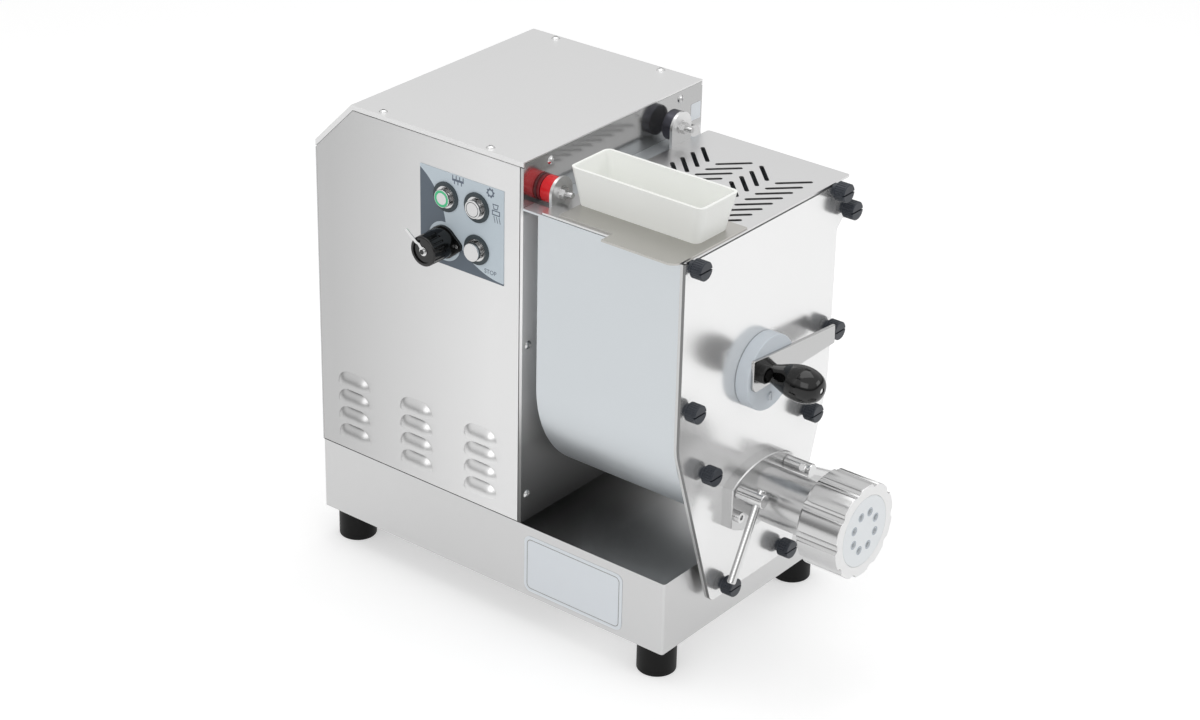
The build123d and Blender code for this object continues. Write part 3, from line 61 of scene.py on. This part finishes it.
def place(x, d, z):
    """Point of the machine, in millimetres, as a point of the frame in metres."""
    return Vector(((x - MIDDLE_X) * MM, (MIDDLE_D - d) * MM, z * MM))


# Shader maths


class Wire:
    """A value, colour or vector that changes over a surface."""

    def __init__(self, tree, socket):
        self.tree = tree
        self.socket = socket

    def math(self, operation, *others):
        inputs = dict(enumerate((self,) + others))
        return self.tree.add("ShaderNodeMath", {"operation": operation}, inputs)

    def __add__(self, other):
        return self.math("ADD", other)

    def __sub__(self, other):
        return self.math("SUBTRACT", other)

    def __rsub__(self, other):
        return self.math("MULTIPLY_ADD", -1.0, other)

    def __mul__(self, other):
        return self.math("MULTIPLY", other)

    def __truediv__(self, other):
        return self.math("DIVIDE", other)

    def __gt__(self, other):
        return self.math("GREATER_THAN", other)

    def __pow__(self, other):
        return self.math("POWER", other)

    __radd__ = __add__
    __rmul__ = __mul__

    def least(self, other):
        return self.math("MINIMUM", other)

    def most(self, other):
        return self.math("MAXIMUM", other)

    def part(self, name):
        """One component of a vector."""
        return self.tree.add("ShaderNodeSeparateXYZ", {}, {"Vector": self}, name)


class Tree:
    """Node tree of a material or of the world."""

    def __init__(self, owner):
        owner.use_nodes = True
        self.tree = owner.node_tree
        self.tree.nodes.clear()

    def add(self, kind, settings, inputs, output=0):
        """Adds a node, sets it up, fills or links its sockets, and gives the output asked for."""
        node = self.tree.nodes.new(kind)
        for name, value in settings.items():
            if name == "stops":
                set_stops(node.color_ramp, value)
            else:
                setattr(node, name, value)
        for name, value in inputs.items():
            if isinstance(value, Wire):
                self.tree.links.new(value.socket, node.inputs[name])
            else:
                node.inputs[name].default_value = value
        if node.outputs:
            return Wire(self, node.outputs[output])

    def position(self):
        """Place on the piece, in metres of the frame."""
        return self.add("ShaderNodeTexCoord", {}, {}, "Object")

    def ramp(self, axis, start, end):
        """Rises from 0 to 1 between two places along one axis of the frame."""
        along = (self.position().part(axis) - start) / (end - start)
        return along.least(1.0).most(0.0)

    def facing(self, axis):
        """1 where the surface lies square to an axis of the frame, 0 where it doesn't."""
        normal = self.add("ShaderNodeTexCoord", {}, {}, "Normal")
        return normal.part(axis).math("ABSOLUTE") > SQUARE_ENOUGH

    def noise(self, scale, detail=2.0, stretch=None):
        """Cloudy value round a half, drawn out along the axes where stretch is below 1."""
        spot = self.position()
        if stretch:
            spot = self.add("ShaderNodeVectorMath", {"operation": "MULTIPLY"}, {0: spot, 1: stretch})
        inputs = {"Vector": spot, "Scale": scale, "Detail": detail}
        return self.add("ShaderNodeTexNoise", {}, inputs, "Fac")

    def wander(self, middle, amount, scale, detail=2.0, stretch=None):
        """Value that noise moves a little to both sides of its middle."""
        return middle + (self.noise(scale, detail, stretch) - 0.5) * amount

    def cloudy(self, roughness, amount):
        """Roughness of handled sheet metal."""
        return self.wander(roughness, amount, CLOUD_SCALE, CLOUD_DETAIL)

    def blend(self, amount, low, high):
        """Colour between two colours."""
        return self.add("ShaderNodeMix", {"data_type": "RGBA"}, {0: amount, 6: low, 7: high}, 2)

    def shades(self, level, stops):
        """Grey that a value picks from a row of stops."""
        return self.add("ShaderNodeValToRGB", {"stops": stops}, {"Fac": level})

    def bump(self, height, strength, distance):
        inputs = {"Height": height, "Strength": strength, "Distance": distance}
        return self.add("ShaderNodeBump", {}, inputs)

    def rays(self, kind):
        """1 for light rays of one kind, 0 for the others."""
        return self.add("ShaderNodeLightPath", {}, {}, kind)

    def surface(self, **inputs):
        named = {name.replace("_", " "): value for name, value in inputs.items()}
        shader = self.add("ShaderNodeBsdfPrincipled", {}, named)
        self.output(shader, "ShaderNodeOutputMaterial")

    def output(self, shader, kind):
        self.add(kind, {}, {"Surface": shader})


def set_stops(ramp, stops):
    while len(ramp.elements) < len(stops):
        ramp.elements.new(1.0)
    for element, (where, shade) in zip(ramp.elements, stops):
        element.position = where
        element.color = grey(shade)


def grey(shade, blue=0.0, red=0.0):
    """Grey colour, with its blue and its red raised by the given shares."""
    return (shade * (1 + red), shade, shade * (1 + blue), 1.0)


def new_material(name):
    material = bpy.data.materials.new(name)
    return material, Tree(material)


# Finishes

# Least part of a surface's normal along an axis at which the surface counts as square to it
SQUARE_ENOUGH = 0.9

# Scales of the noise behind the finishes, from the marks of handling on sheets to the moulded grain
CLOUD_SCALE = 9.0
CLOUD_DETAIL = 3.0
BRUSH_SCALE = 60.0
TURNED_SCALE = 120.0
CAST_SCALE = 300.0
PRINT_SCALE = 400.0
MOULD_SCALE = 900.0

# Brushed streaks have this share of a sheet's cloudiness, and the moulded grain this depth in metres
BRUSH_SHARE = 0.8
MOULD_DEPTH = 0.0004

# How closely the brushed streaks vary along x, y and z: they stand upright on the casing's sides
# and run along x on the lid
SIDE_STREAK = (6.0, 6.0, 0.4)
TOP_STREAK = (0.4, 6.0, 6.0)

# Turning marks of the ring nut run along its axis
TURNED_STREAK = (1.0, 0.05, 1.0)

# Brushed sheets get painted shade, darker towards the rear: axis, first and last place in metres of
# the frame, and the shade at the last place
CASING_PAINTED_SHADE = ("Y", 0.06, 0.27, 0.5)


def steel(name, shade, roughness, cloud=0.05, blue=0.0, red=0.0, streak=None, metallic=1.0,
          painted_shade=None):
    """Stainless steel with a faint cloudiness, and fine streaks where it is brushed.

    A painted shade, when given, holds an axis, the two places where its darkening starts and ends, and
    the shade there.
    """
    material, tree = new_material(name)
    brushed = tree.noise(BRUSH_SCALE, stretch=streak)
    rough = tree.cloudy(roughness, cloud) + (brushed - 0.5) * (cloud * BRUSH_SHARE)
    colour = grey(shade, blue, red)
    # Painted shade: the colour darkens along one axis, standing in for light falling off
    if painted_shade:
        axis, start, end, painted_shade_end = painted_shade
        colour = tree.blend(tree.ramp(axis, start, end), colour, grey(painted_shade_end, blue, red))
    tree.surface(Base_Color=colour, Metallic=metallic, Roughness=rough)
    return material


# Casing's front plate: heights between which its tones lie, the tones, whose dark low stops are painted
# shade behind and below the tank, and the heights between which its satin lower part turns into a mirror
TONE_SPAN = (100, 500)
FRONT_TONES_AND_PAINTED_SHADE = ((0.0, 0.05), (0.25, 0.28), (0.38, 0.72), (0.6, 0.95), (0.87, 0.95), (0.9, 0.46))
MIRROR_SPAN = (450, 460)
SATIN_ROUGH = 0.45
MIRROR_ROUGH = 0.14
SATIN_METAL = 0.35
MIRROR_METAL = 0.95


def gap_plate(name):
    """Front plate of the casing: satin behind the tank with painted shade darkening it down there, a
    mirror above it.
    """
    material, tree = new_material(name)
    level = tree.ramp("Z", *(height * MM for height in TONE_SPAN))
    high = tree.ramp("Z", *(height * MM for height in MIRROR_SPAN))
    rough = tree.cloudy(SATIN_ROUGH, 0.04) - high * (SATIN_ROUGH - MIRROR_ROUGH)
    metal = SATIN_METAL + high * (MIRROR_METAL - SATIN_METAL)
    tree.surface(Base_Color=tree.shades(level, FRONT_TONES_AND_PAINTED_SHADE), Metallic=metal, Roughness=rough)
    return material


# Painted shade on the deck: where it starts to darken towards the casing and where it is darkest, as d
DECK_PAINTED_SHADE = (350, 275)


def base_steel(name):
    """Sheet of the base: satin outside, with painted shade darkening the deck towards the casing."""
    material, tree = new_material(name)
    shade_near_casing = tree.ramp("Y", *(place(0, d, 0).y for d in DECK_PAINTED_SHADE))
    colour = tree.blend(tree.facing("Z") * shade_near_casing, grey(0.6), grey(0.16))
    tree.surface(Base_Color=colour, Metallic=1.0, Roughness=tree.cloudy(0.3, 0.05))
    return material


def panel_steel(name):
    """Mirror-bright front panel whose cut edges get a painted shade, darker than its face."""
    material, tree = new_material(name)
    colour = tree.blend(tree.facing("Y"), grey(0.2), grey(0.85))
    tree.surface(Base_Color=colour, Metallic=0.75, Roughness=tree.cloudy(0.2, 0.03))
    return material


# Depth behind the ring's front face over which the painted reflection of its face fades in
RING_EDGE = 1.0


def faced_ring(name):
    """Turned steel ring whose front face gets a painted reflection: pale and matte instead of metal."""
    material, tree = new_material(name)
    front = tree.ramp("Y", place(0, RING_FACE - RING_EDGE, 0).y, place(0, RING_FACE, 0).y)
    rough = tree.wander(0.17, 0.05, TURNED_SCALE, stretch=TURNED_STREAK) + front * 0.25
    colour = tree.blend(front, grey(0.58), grey(0.9))
    tree.surface(Base_Color=colour, Metallic=1.0 - front * 0.8, Roughness=rough)
    return material


# Heights between which the lever's hub bolt ends and the slotted screw below it starts
HUB_SPLIT = (300, 290)


def two_fasteners(name):
    """Black hub bolt of the lever, and the pale slotted screw below it."""
    material, tree = new_material(name)
    low = tree.ramp("Z", *(height * MM for height in HUB_SPLIT))
    colour = tree.blend(low, grey(0.006), (0.6, 0.64, 0.68, 1.0))
    tree.surface(Base_Color=colour, Roughness=tree.wander(0.3, 0.1, CAST_SCALE), Specular_IOR_Level=0.35)
    return material


def plain(name, colour, roughness, coat=0.0, grain=0.0, shine=0.5):
    """Plastic, rubber, paint or ink, with a fine moulded grain where it has one."""
    material, tree = new_material(name)
    inputs = {"Base_Color": colour, "Roughness": roughness, "Coat_Weight": coat, "Coat_Roughness": 0.08,
              "Specular_IOR_Level": shine}
    if grain:
        inputs["Normal"] = tree.bump(tree.noise(MOULD_SCALE), grain, MOULD_DEPTH)
    tree.surface(**inputs)
    return material


def glowing(name):
    """Green light of the start button's ring."""
    material, tree = new_material(name)
    tree.surface(Base_Color=(0.05, 0.36, 0.17, 1.0), Roughness=0.4, Emission_Color=(0.07, 0.7, 0.3, 1.0),
                 Emission_Strength=0.22)
    return material


# Control film: d and height of the socket's middle, radius of the light disc round it, and the d,
# the height and the radius of each arc
SOCKET = (171.5, 395.0)
SOCKET_LIGHT_RADIUS = 20.5
LABEL_HIGH_ARC = (102.1, 405.3, 71.7)
LABEL_LOW_ARC = (246.5, 445.9, 74.1)
LABEL_LIGHT = (0.58, 0.66, 0.72, 1.0)
LABEL_SLATE = (0.1, 0.13, 0.165, 1.0)


def label_print():
    """Printed film: light blue-grey, with a slate corner that ends in two arcs, and a light disc
    round the socket."""
    material, tree = new_material("control film")
    spot = tree.position()

    def beyond(d, z, radius):
        """1 outside a circle on the film, 0 inside it."""
        point = place(0, d, z)
        across = (spot.part("Y") - point.y) ** 2.0
        along = (spot.part("Z") - point.z) ** 2.0
        return (across + along) ** 0.5 > radius * MM

    upper = spot.part("Z") > SOCKET[1] * MM
    slate = upper * (1.0 - beyond(*LABEL_HIGH_ARC)) + (1.0 - upper) * beyond(*LABEL_LOW_ARC)
    slate = slate * beyond(*SOCKET, SOCKET_LIGHT_RADIUS)
    colour = tree.blend(slate, LABEL_LIGHT, LABEL_SLATE)
    tree.surface(Base_Color=colour, Roughness=tree.wander(0.38, 0.06, PRINT_SCALE))
    return material


def slot_finishes():
    """Finish of each material slot of the frame, and of the nodes that have one of their own."""
    return {
        "steel_satin": steel("satin steel", 0.55, 0.24),
        "steel_brushed": steel("brushed steel", 0.72, 0.34, 0.04, streak=SIDE_STREAK, painted_shade=CASING_PAINTED_SHADE),
        "cover_steel": steel("cover steel", 0.74, 0.34, 0.04, streak=SIDE_STREAK),
        "gap_plate": gap_plate("casing front steel"),
        "base_steel": base_steel("base steel"),
        "steel_polished": steel("polished steel", 0.5, 0.13, 0.02),
        "steel_mirror": panel_steel("mirror steel"),
        "lever_fasteners": two_fasteners("lever fasteners"),
        "bumper_metal": steel("bumper metal", 0.06, 0.3, blue=0.25, metallic=0.7),
        "steel_bright": steel("bright steel", 0.66, 0.2),
        "gear_steel": steel("gear steel", 0.4, 0.35),
        "tank_steel": steel("tank steel", 0.66, 0.38, 0.05, blue=0.035, red=-0.05, metallic=0.75),
        "lid_steel": steel("lid steel", 0.7, 0.3, 0.04, streak=TOP_STREAK),
        "tray_steel": steel("tray plate steel", 0.5, 0.36, 0.04, blue=-0.05, red=0.02),
        "cast_metal": steel("machined plate", 0.5, 0.4),
        "aluminium": steel("finned housing", 0.5, 0.45),
        "ring_metal": faced_ring("turned ring"),
        "button_metal": steel("button metal", 0.62, 0.12, 0.02),
        "rubber": plain("black rubber", grey(0.003), 0.5, grain=0.1, shine=0.2),
        "black_plastic": plain("black plastic", grey(0.002), 0.16),
        "black_knob": plain("knob plastic", (0.026, 0.031, 0.041, 1.0), 0.36, shine=0.4),
        "grip_black": plain("grip plastic", grey(0.003), 0.09, coat=0.1, shine=0.4),
        "magnet_red": plain("red plastic", (0.75, 0.003, 0.01, 1.0), 0.22, coat=0.4),
        "sensor_red": plain("dark red plastic", (0.2, 0.006, 0.012, 1.0), 0.3),
        "label_print": label_print(),
        "tray_plastic": plain("tray plastic", (0.92, 0.93, 0.9, 1.0), 0.42, grain=0.04),
        "bush_plastic": plain("bush plastic", (0.62, 0.67, 0.72, 1.0), 0.4),
        "die_plastic": plain("die plastic", (0.87, 0.9, 0.92, 1.0), 0.38),
        "motor_paint": plain("motor paint", (0.02, 0.035, 0.06, 1.0), 0.45),
    }


def piece_finishes():
    """Finishes of the pieces that are added to the frame."""
    return {
        "label_ink": plain("label ink", (0.12, 0.15, 0.2, 1.0), 0.5),
        "button_seal": plain("button seal", (0.035, 0.05, 0.058, 1.0), 0.5),
        "lit_ring": glowing("lit ring"),
        "screw_steel": steel("screw steel", 0.7, 0.2),
        "dark_head": plain("dark screw head", grey(0.01), 0.35),
        # Grey for the painted shade in the die's sinks
        "die_painted_shade": plain("painted shade plastic", (0.5, 0.55, 0.6, 1.0), 0.5),
        "bare_white": plain("bare white", (0.8, 0.84, 0.88, 1.0), 0.3),
        "border_ink": plain("grey ink", grey(0.3), 0.5),
    }


NODE_FINISH = {"top_cover": "cover_steel", "casing_front_plate": "gap_plate", "base_tray": "base_steel",
               "lid_bumper": "bumper_metal", "lever_fasteners": "lever_fasteners"}


def dress_parts():
    """Gives every CAD part the finish of its node, or else that of its material slot."""
    made = slot_finishes()
    for entry in frame["record"]["subparts"]:
        node = entry["node"]
        part = parts[node]
        part.data.materials.clear()
        part.data.materials.append(made[NODE_FINISH.get(node, entry["material_slot"])])


# Flat pieces. LEFT_FACE and FRONT_FACE turn one so that it faces out of the left side or the front.

LEFT_FACE = Matrix(((0, 0, -1), (-1, 0, 0), (0, 1, 0)))
FRONT_FACE = Matrix(((1, 0, 0), (0, 0, -1), (0, 1, 0)))


def flat_piece(name, loops, thick, spot, face, material, body="machine", soft=0.0):
    """Thin piece with outlines in millimetres, its back on spot, and its edges rounded by soft."""
    curve = bpy.data.curves.new(name, "CURVE")
    curve.dimensions = "2D"
    curve.fill_mode = "BOTH"
    for loop in loops:
        spline = curve.splines.new("POLY")
        spline.points.add(len(loop) - 1)
        for point, (across, up) in zip(spline.points, loop):
            point.co = (across * MM, up * MM, 0, 1)
        spline.use_cyclic_u = True
    curve.extrude = (thick / 2 - soft) * MM
    curve.bevel_depth = soft * MM
    curve.offset = -soft * MM
    settle(name, curve, thick, spot, face, material, body)


def settle(name, curve, thick, spot, face, material, body):
    """Turns a flat curve or text into a mesh, stands it on its face and lets it ride on its body."""
    drawn = bpy.data.objects.new(name + "_curve", curve)
    bpy.context.scene.collection.objects.link(drawn)
    bpy.context.view_layer.update()
    mesh = bpy.data.meshes.new_from_object(drawn.evaluated_get(bpy.context.evaluated_depsgraph_get()))
    bpy.data.objects.remove(drawn)
    piece = bpy.data.objects.new(name, mesh)
    bpy.context.scene.collection.objects.link(piece)
    mesh.transform(Matrix.Translation(Vector((0, 0, thick / 2 * MM))))
    mesh.transform(face.to_4x4())
    piece.location = spot
    mesh.materials.clear()
    mesh.materials.append(material)
    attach(piece, body)


def circle(radius, across=0.0, up=0.0, steps=64):
    turns = [2 * pi * i / steps for i in range(steps)]
    return [(across + radius * cos(t), up + radius * sin(t)) for t in turns]


def stroke(start, end, width):
    """Straight ink line as a thin rectangle."""
    (x0, y0), (x1, y1) = start, end
    lean = atan2(y1 - y0, x1 - x0)
    dx, dy = -sin(lean) * width / 2, cos(lean) * width / 2
    return [(x0 + dx, y0 + dy), (x1 + dx, y1 + dy), (x1 - dx, y1 - dy), (x0 - dx, y0 - dy)]


def rounded_box(width, height, radius, steps=8):
    loop = []
    corners = ((1, 1), (-1, 1), (-1, -1), (1, -1))
    for quarter, (side, level) in enumerate(corners):
        for i in range(steps + 1):
            turn = (quarter + i / steps) * pi / 2
            loop.append((side * (width / 2 - radius) + radius * cos(turn),
                         level * (height / 2 - radius) + radius * sin(turn)))
    return loop


# Printed signs. LABEL_FACE is the x of the film's face, and each sign has a d and a height on it.

LABEL_FACE = -0.6
INK_THICK = 0.08
MIXER_ICON = (189.0, 463.6)
GEAR_ICON = (229.9, 463.0)
EXTRUDER_ICON = (237.8, 443.4)
STOP_WORD = (230.0, 377.4)
STOP_SIZE = 6.4
ICON_LINE = 1.1
GEAR_TEETH = 8
GEAR_RADII = (5.2, 4.0, 2.6)


def mixer_icon():
    """Thick shaft with four paddles above it and three below."""
    half = ICON_LINE
    shaft = stroke((-7.3, 0), (7.3, 0), 2 * half)
    above = [stroke((x, half), (x, 4.6), ICON_LINE) for x in (-6.6, -2.2, 2.2, 6.6)]
    below = [stroke((x, -half), (x, -4.4), ICON_LINE) for x in (-4.4, 0.0, 4.4)]
    return [shaft] + above + below


def gear_icon():
    """Toothed wheel with a round hole."""
    tip, root, hole = GEAR_RADII
    corners = 4 * GEAR_TEETH
    outline = []
    for i in range(corners):
        turn = 2 * pi * (i + 0.5) / corners
        reach = tip if i % 4 < 2 else root
        outline.append((reach * cos(turn), reach * sin(turn)))
    return [outline, circle(hole)]


def extruder_icon():
    """Hopper over a barrel with three strands leaving it."""
    hopper = [(-5.4, 9.4), (2.4, 9.4), (0.8, 3.8), (-3.8, 3.8)]
    hollow = [(-4.2, 8.4), (1.2, 8.4), (0.2, 4.8), (-3.2, 4.8)]
    barrel = [(-6.0, 3.0), (4.0, 3.0), (4.0, -2.2), (-6.0, -2.2)]
    bore = [(-5.0, 2.0), (3.0, 2.0), (3.0, -1.2), (-5.0, -1.2)]
    strands = [stroke((x, -3.0), (x + 1.6, -9.6), 0.8) for x in (-3.6, -0.4, 2.8)]
    return [hopper, hollow, barrel, bore] + strands


def print_signs(ink):
    icons = {"mixer_icon": (MIXER_ICON, mixer_icon()), "gear_icon": (GEAR_ICON, gear_icon()),
             "extruder_icon": (EXTRUDER_ICON, extruder_icon())}
    for name, (spot, loops) in icons.items():
        flat_piece(name, loops, INK_THICK, place(LABEL_FACE, *spot), LEFT_FACE, ink)
    word = bpy.data.curves.new("stop_word", "FONT")
    word.body = "STOP"
    word.size = STOP_SIZE * MM
    word.align_x = "CENTER"
    word.extrude = INK_THICK / 2 * MM
    settle("stop_word", word, INK_THICK, place(LABEL_FACE, *STOP_WORD), LEFT_FACE, ink, "machine")


# Push buttons: d and height of each, outer and inner radii of their rings, and x of the caps' faces

BUTTONS = {"start": (174.0, 443.0), "extrude": (213.0, 443.0), "stop": (213.0, 398.5)}
SEAL_RADII = (15.4, 11.25)
SEAL_THICK = 1.6
CAP_FACE = -7.8
GLOW_RADII = (8.6, 6.0)
# Painted shade: the dark ring drawn on the extrude button's cap where its groove is
GROOVE_PAINTED_SHADE_RADII = (7.7, 7.0)
CAP_RING_THICK = 0.12
SOFT_EDGE = 0.2


def dress_buttons(seal, glow):
    """Dark seal round each button, the lit ring of the start button and a painted shade ring for the
    groove of its neighbour.
    """
    for name, spot in BUTTONS.items():
        loops = [circle(radius) for radius in SEAL_RADII]
        back = place(LABEL_FACE, *spot)
        flat_piece(name + "_seal", loops, SEAL_THICK, back, LEFT_FACE, seal, soft=SOFT_EDGE)
    rings = {"start": (GLOW_RADII, glow), "extrude": (GROOVE_PAINTED_SHADE_RADII, seal)}
    for name, (radii, material) in rings.items():
        loops = [circle(radius) for radius in radii]
        back = place(CAP_FACE, *BUTTONS[name])
        flat_piece(name + "_ring", loops, CAP_RING_THICK, back, LEFT_FACE, material, name + "_button")


# Screw heads: radius and thickness of each, and where they sit

SOCKET_SCREW = (2.0, 1.3)
SOCKET_SCREW_REACH = 17.0
SOCKET_SCREW_FACE = -2.1
STRAP_SCREW = (2.5, 0.3)
STRAP_SCREW_FACE = -33.9
GRIP_SCREW = (2.7, 1.4)
GRIP_SCREW_AT = (122.0, 534.0, 306.5)


def dress_fasteners(bright, dark):
    """Screws in the socket's flange, the dark head on the strap and the screw in the grip's tip."""
    d, z = SOCKET
    radius, thick = SOCKET_SCREW
    for side, name in ((-1, "rear"), (1, "front")):
        spot = place(SOCKET_SCREW_FACE, d + side * SOCKET_SCREW_REACH, z)
        head = [circle(radius)]
        flat_piece("socket_screw_" + name, head, thick, spot, LEFT_FACE, bright, soft=SOFT_EDGE)
    radius, thick = STRAP_SCREW
    spot = place(STRAP_SCREW_FACE, d, z)
    flat_piece("strap_screw_head", [circle(radius)], thick, spot, LEFT_FACE, dark, "socket_cap")
    radius, thick = GRIP_SCREW
    spot = place(*GRIP_SCREW_AT)
    flat_piece("grip_screw", [circle(radius)], thick, spot, FRONT_FACE, bright, "bush_lever", SOFT_EDGE)


# Die: x and height of its middle, its ring of holes, and the painted shade of the sinks round them

DIE_MIDDLE = (122.0, 176.0)
DIE_HOLES = 8
DIE_HOLE_CIRCLE = 19.5
SINK_RADII = (4.6, 3.2)
SINK_THICK = 0.1
SINK_STEPS = 32


def dress_die(shade):
    """Painted shade: soft grey rings round the die's holes, for the shade in their sinks."""
    loops = []
    for i in range(DIE_HOLES):
        turn = 2 * pi * (i + 0.5) / DIE_HOLES
        across, up = DIE_HOLE_CIRCLE * cos(turn), DIE_HOLE_CIRCLE * sin(turn)
        loops += [circle(radius, across, up, SINK_STEPS) for radius in SINK_RADII]
    x, z = DIE_MIDDLE
    flat_piece("die_sink_painted_shade", loops, SINK_THICK, place(x, RING_FACE, z), FRONT_FACE, shade)


# Bare plates: width, height and corner radius of each, and where they sit

BARE_PLATE = (124.0, 64.0, 8.0)
BARE_PLATE_AT = (337.5, 73.0)
PLATE_THICK = 0.5
PLATE_EDGE = 0.1
PLATE_BORDERS = ((117.0, 57.0, 5.5), (115.4, 55.4, 4.7))
SMALL_LABEL = (16.0, 18.0, 1.0)
SMALL_LABEL_AT = (270.0, 474.0)
SMALL_LABEL_THICK = 0.15


def bare_labels(white, ink):
    """Plate on the base and small sticker on the casing, bare but for the plate's printed border."""
    spot = place(LEFT_SIDE, *BARE_PLATE_AT)
    plate = [rounded_box(*BARE_PLATE)]
    flat_piece("bare_plate", plate, PLATE_THICK, spot, LEFT_FACE, white, soft=PLATE_EDGE)
    border = [rounded_box(*size) for size in PLATE_BORDERS]
    spot = place(LEFT_SIDE - PLATE_THICK, *BARE_PLATE_AT)
    flat_piece("plate_border", border, INK_THICK, spot, LEFT_FACE, ink)
    x, z = SMALL_LABEL_AT
    sticker = [rounded_box(*SMALL_LABEL)]
    spot = place(x, CASING_FRONT, z)
    flat_piece("small_bare_label", sticker, SMALL_LABEL_THICK, spot, FRONT_FACE, white)


# Floor, light and camera

FLOOR_SIZE = 16.0
FLOOR_LIT = 0.8
FLOOR_SEEN = 0.7
FLOOR_GLOW = 0.45

# Brightness that glossy surfaces see, from straight down over the horizon to straight up
HORIZON = ((0.0, 0.95), (0.45, 0.9), (0.5, 0.22), (0.56, 0.3), (0.66, 0.92), (1.0, 1.0))
WORLD_LIGHT = 0.62

# Softboxes: place, target, size in metres, and power in watts
LAMPS = {
    "overhead softbox": ((0.2, 0.3, 2.4), (0, 0, 0.2), (2.2, 1.6), 16),
    "left softbox": ((-2.2, -0.6, 1.5), (0, 0, 0.25), (1.4, 1.4), 9),
    "front softbox": ((1.0, -2.4, 1.4), (0, 0, 0.25), (1.4, 1.2), 9),
}


def make_floor():
    """Pale floor that looks almost white to the camera and in the metal, and keeps its shadows."""
    bpy.ops.mesh.primitive_plane_add(size=FLOOR_SIZE, location=(0, 0, 0))
    floor = bpy.context.object
    floor.name = "studio_floor"
    material, tree = new_material("studio floor")
    seen = tree.rays("Is Camera Ray").most(tree.rays("Is Glossy Ray"))
    lit = tree.add("ShaderNodeBsdfDiffuse", {}, {"Color": grey(FLOOR_LIT)})
    shown = tree.add("ShaderNodeBsdfDiffuse", {}, {"Color": grey(FLOOR_SEEN)})
    glow = tree.add("ShaderNodeEmission", {}, {"Color": grey(1.0), "Strength": FLOOR_GLOW})
    bright = tree.add("ShaderNodeAddShader", {}, {0: shown, 1: glow})
    mixed = tree.add("ShaderNodeMixShader", {}, {0: seen, 1: lit, 2: bright})
    tree.output(mixed, "ShaderNodeOutputMaterial")
    floor.data.materials.append(material)


def make_world():
    """Soft light from all round, white to the camera and banded in the metal."""
    world = bpy.data.worlds.new("studio")
    bpy.context.scene.world = world
    tree = Tree(world)
    height = tree.add("ShaderNodeTexCoord", {}, {}, "Generated").part("Z")
    band = tree.shades(height * 0.5 + 0.5, HORIZON)
    camera = tree.rays("Is Camera Ray")
    glossy = tree.rays("Is Glossy Ray")
    strength = WORLD_LIGHT + camera * (1.0 - WORLD_LIGHT) + glossy * (band - WORLD_LIGHT)
    light = tree.add("ShaderNodeBackground", {}, {"Color": grey(1.0), "Strength": strength})
    tree.output(light, "ShaderNodeOutputWorld")


def make_lamps():
    for name, (at, target, size, power) in LAMPS.items():
        data = bpy.data.lights.new(name, "AREA")
        data.shape = "RECTANGLE"
        data.size, data.size_y = size
        data.energy = power
        lamp = bpy.data.objects.new(name, data)
        bpy.context.scene.collection.objects.link(lamp)
        lamp.location = at
        lamp.rotation_euler = (Vector(target) - Vector(at)).to_track_quat("-Z", "Y").to_euler()


def make_camera():
    data = bpy.data.cameras.new("photo view")
    data.sensor_width = 36.0
    data.lens = CAMERA_LENS
    data.shift_x, data.shift_y = CAMERA_SHIFT
    data.clip_end = 50.0
    camera = bpy.data.objects.new("photo view", data)
    bpy.context.scene.collection.objects.link(camera)
    turn, rise, roll = radians(CAMERA_TURN), radians(CAMERA_RISE), radians(CAMERA_ROLL)
    back = Vector((sin(turn) * cos(rise), -cos(turn) * cos(rise), sin(rise)))
    level = Vector((cos(turn), sin(turn), 0))
    upright = back.cross(level)
    right = level * cos(roll) + upright * sin(roll)
    up = upright * cos(roll) - level * sin(roll)
    axes = Matrix((right, up, back)).transposed()
    camera.matrix_world = Matrix.Translation(place(*CAMERA_AT)) @ axes.to_4x4()
    bpy.context.scene.camera = camera


bpy.context.scene.view_settings.view_transform = "Standard"
dress_parts()
looks = piece_finishes()
print_signs(looks["label_ink"])
dress_buttons(looks["button_seal"], looks["lit_ring"])
dress_fasteners(looks["screw_steel"], looks["dark_head"])
dress_die(looks["die_painted_shade"])
bare_labels(looks["bare_white"], looks["border_ink"])
make_floor()
make_world()
make_lamps()
make_camera()
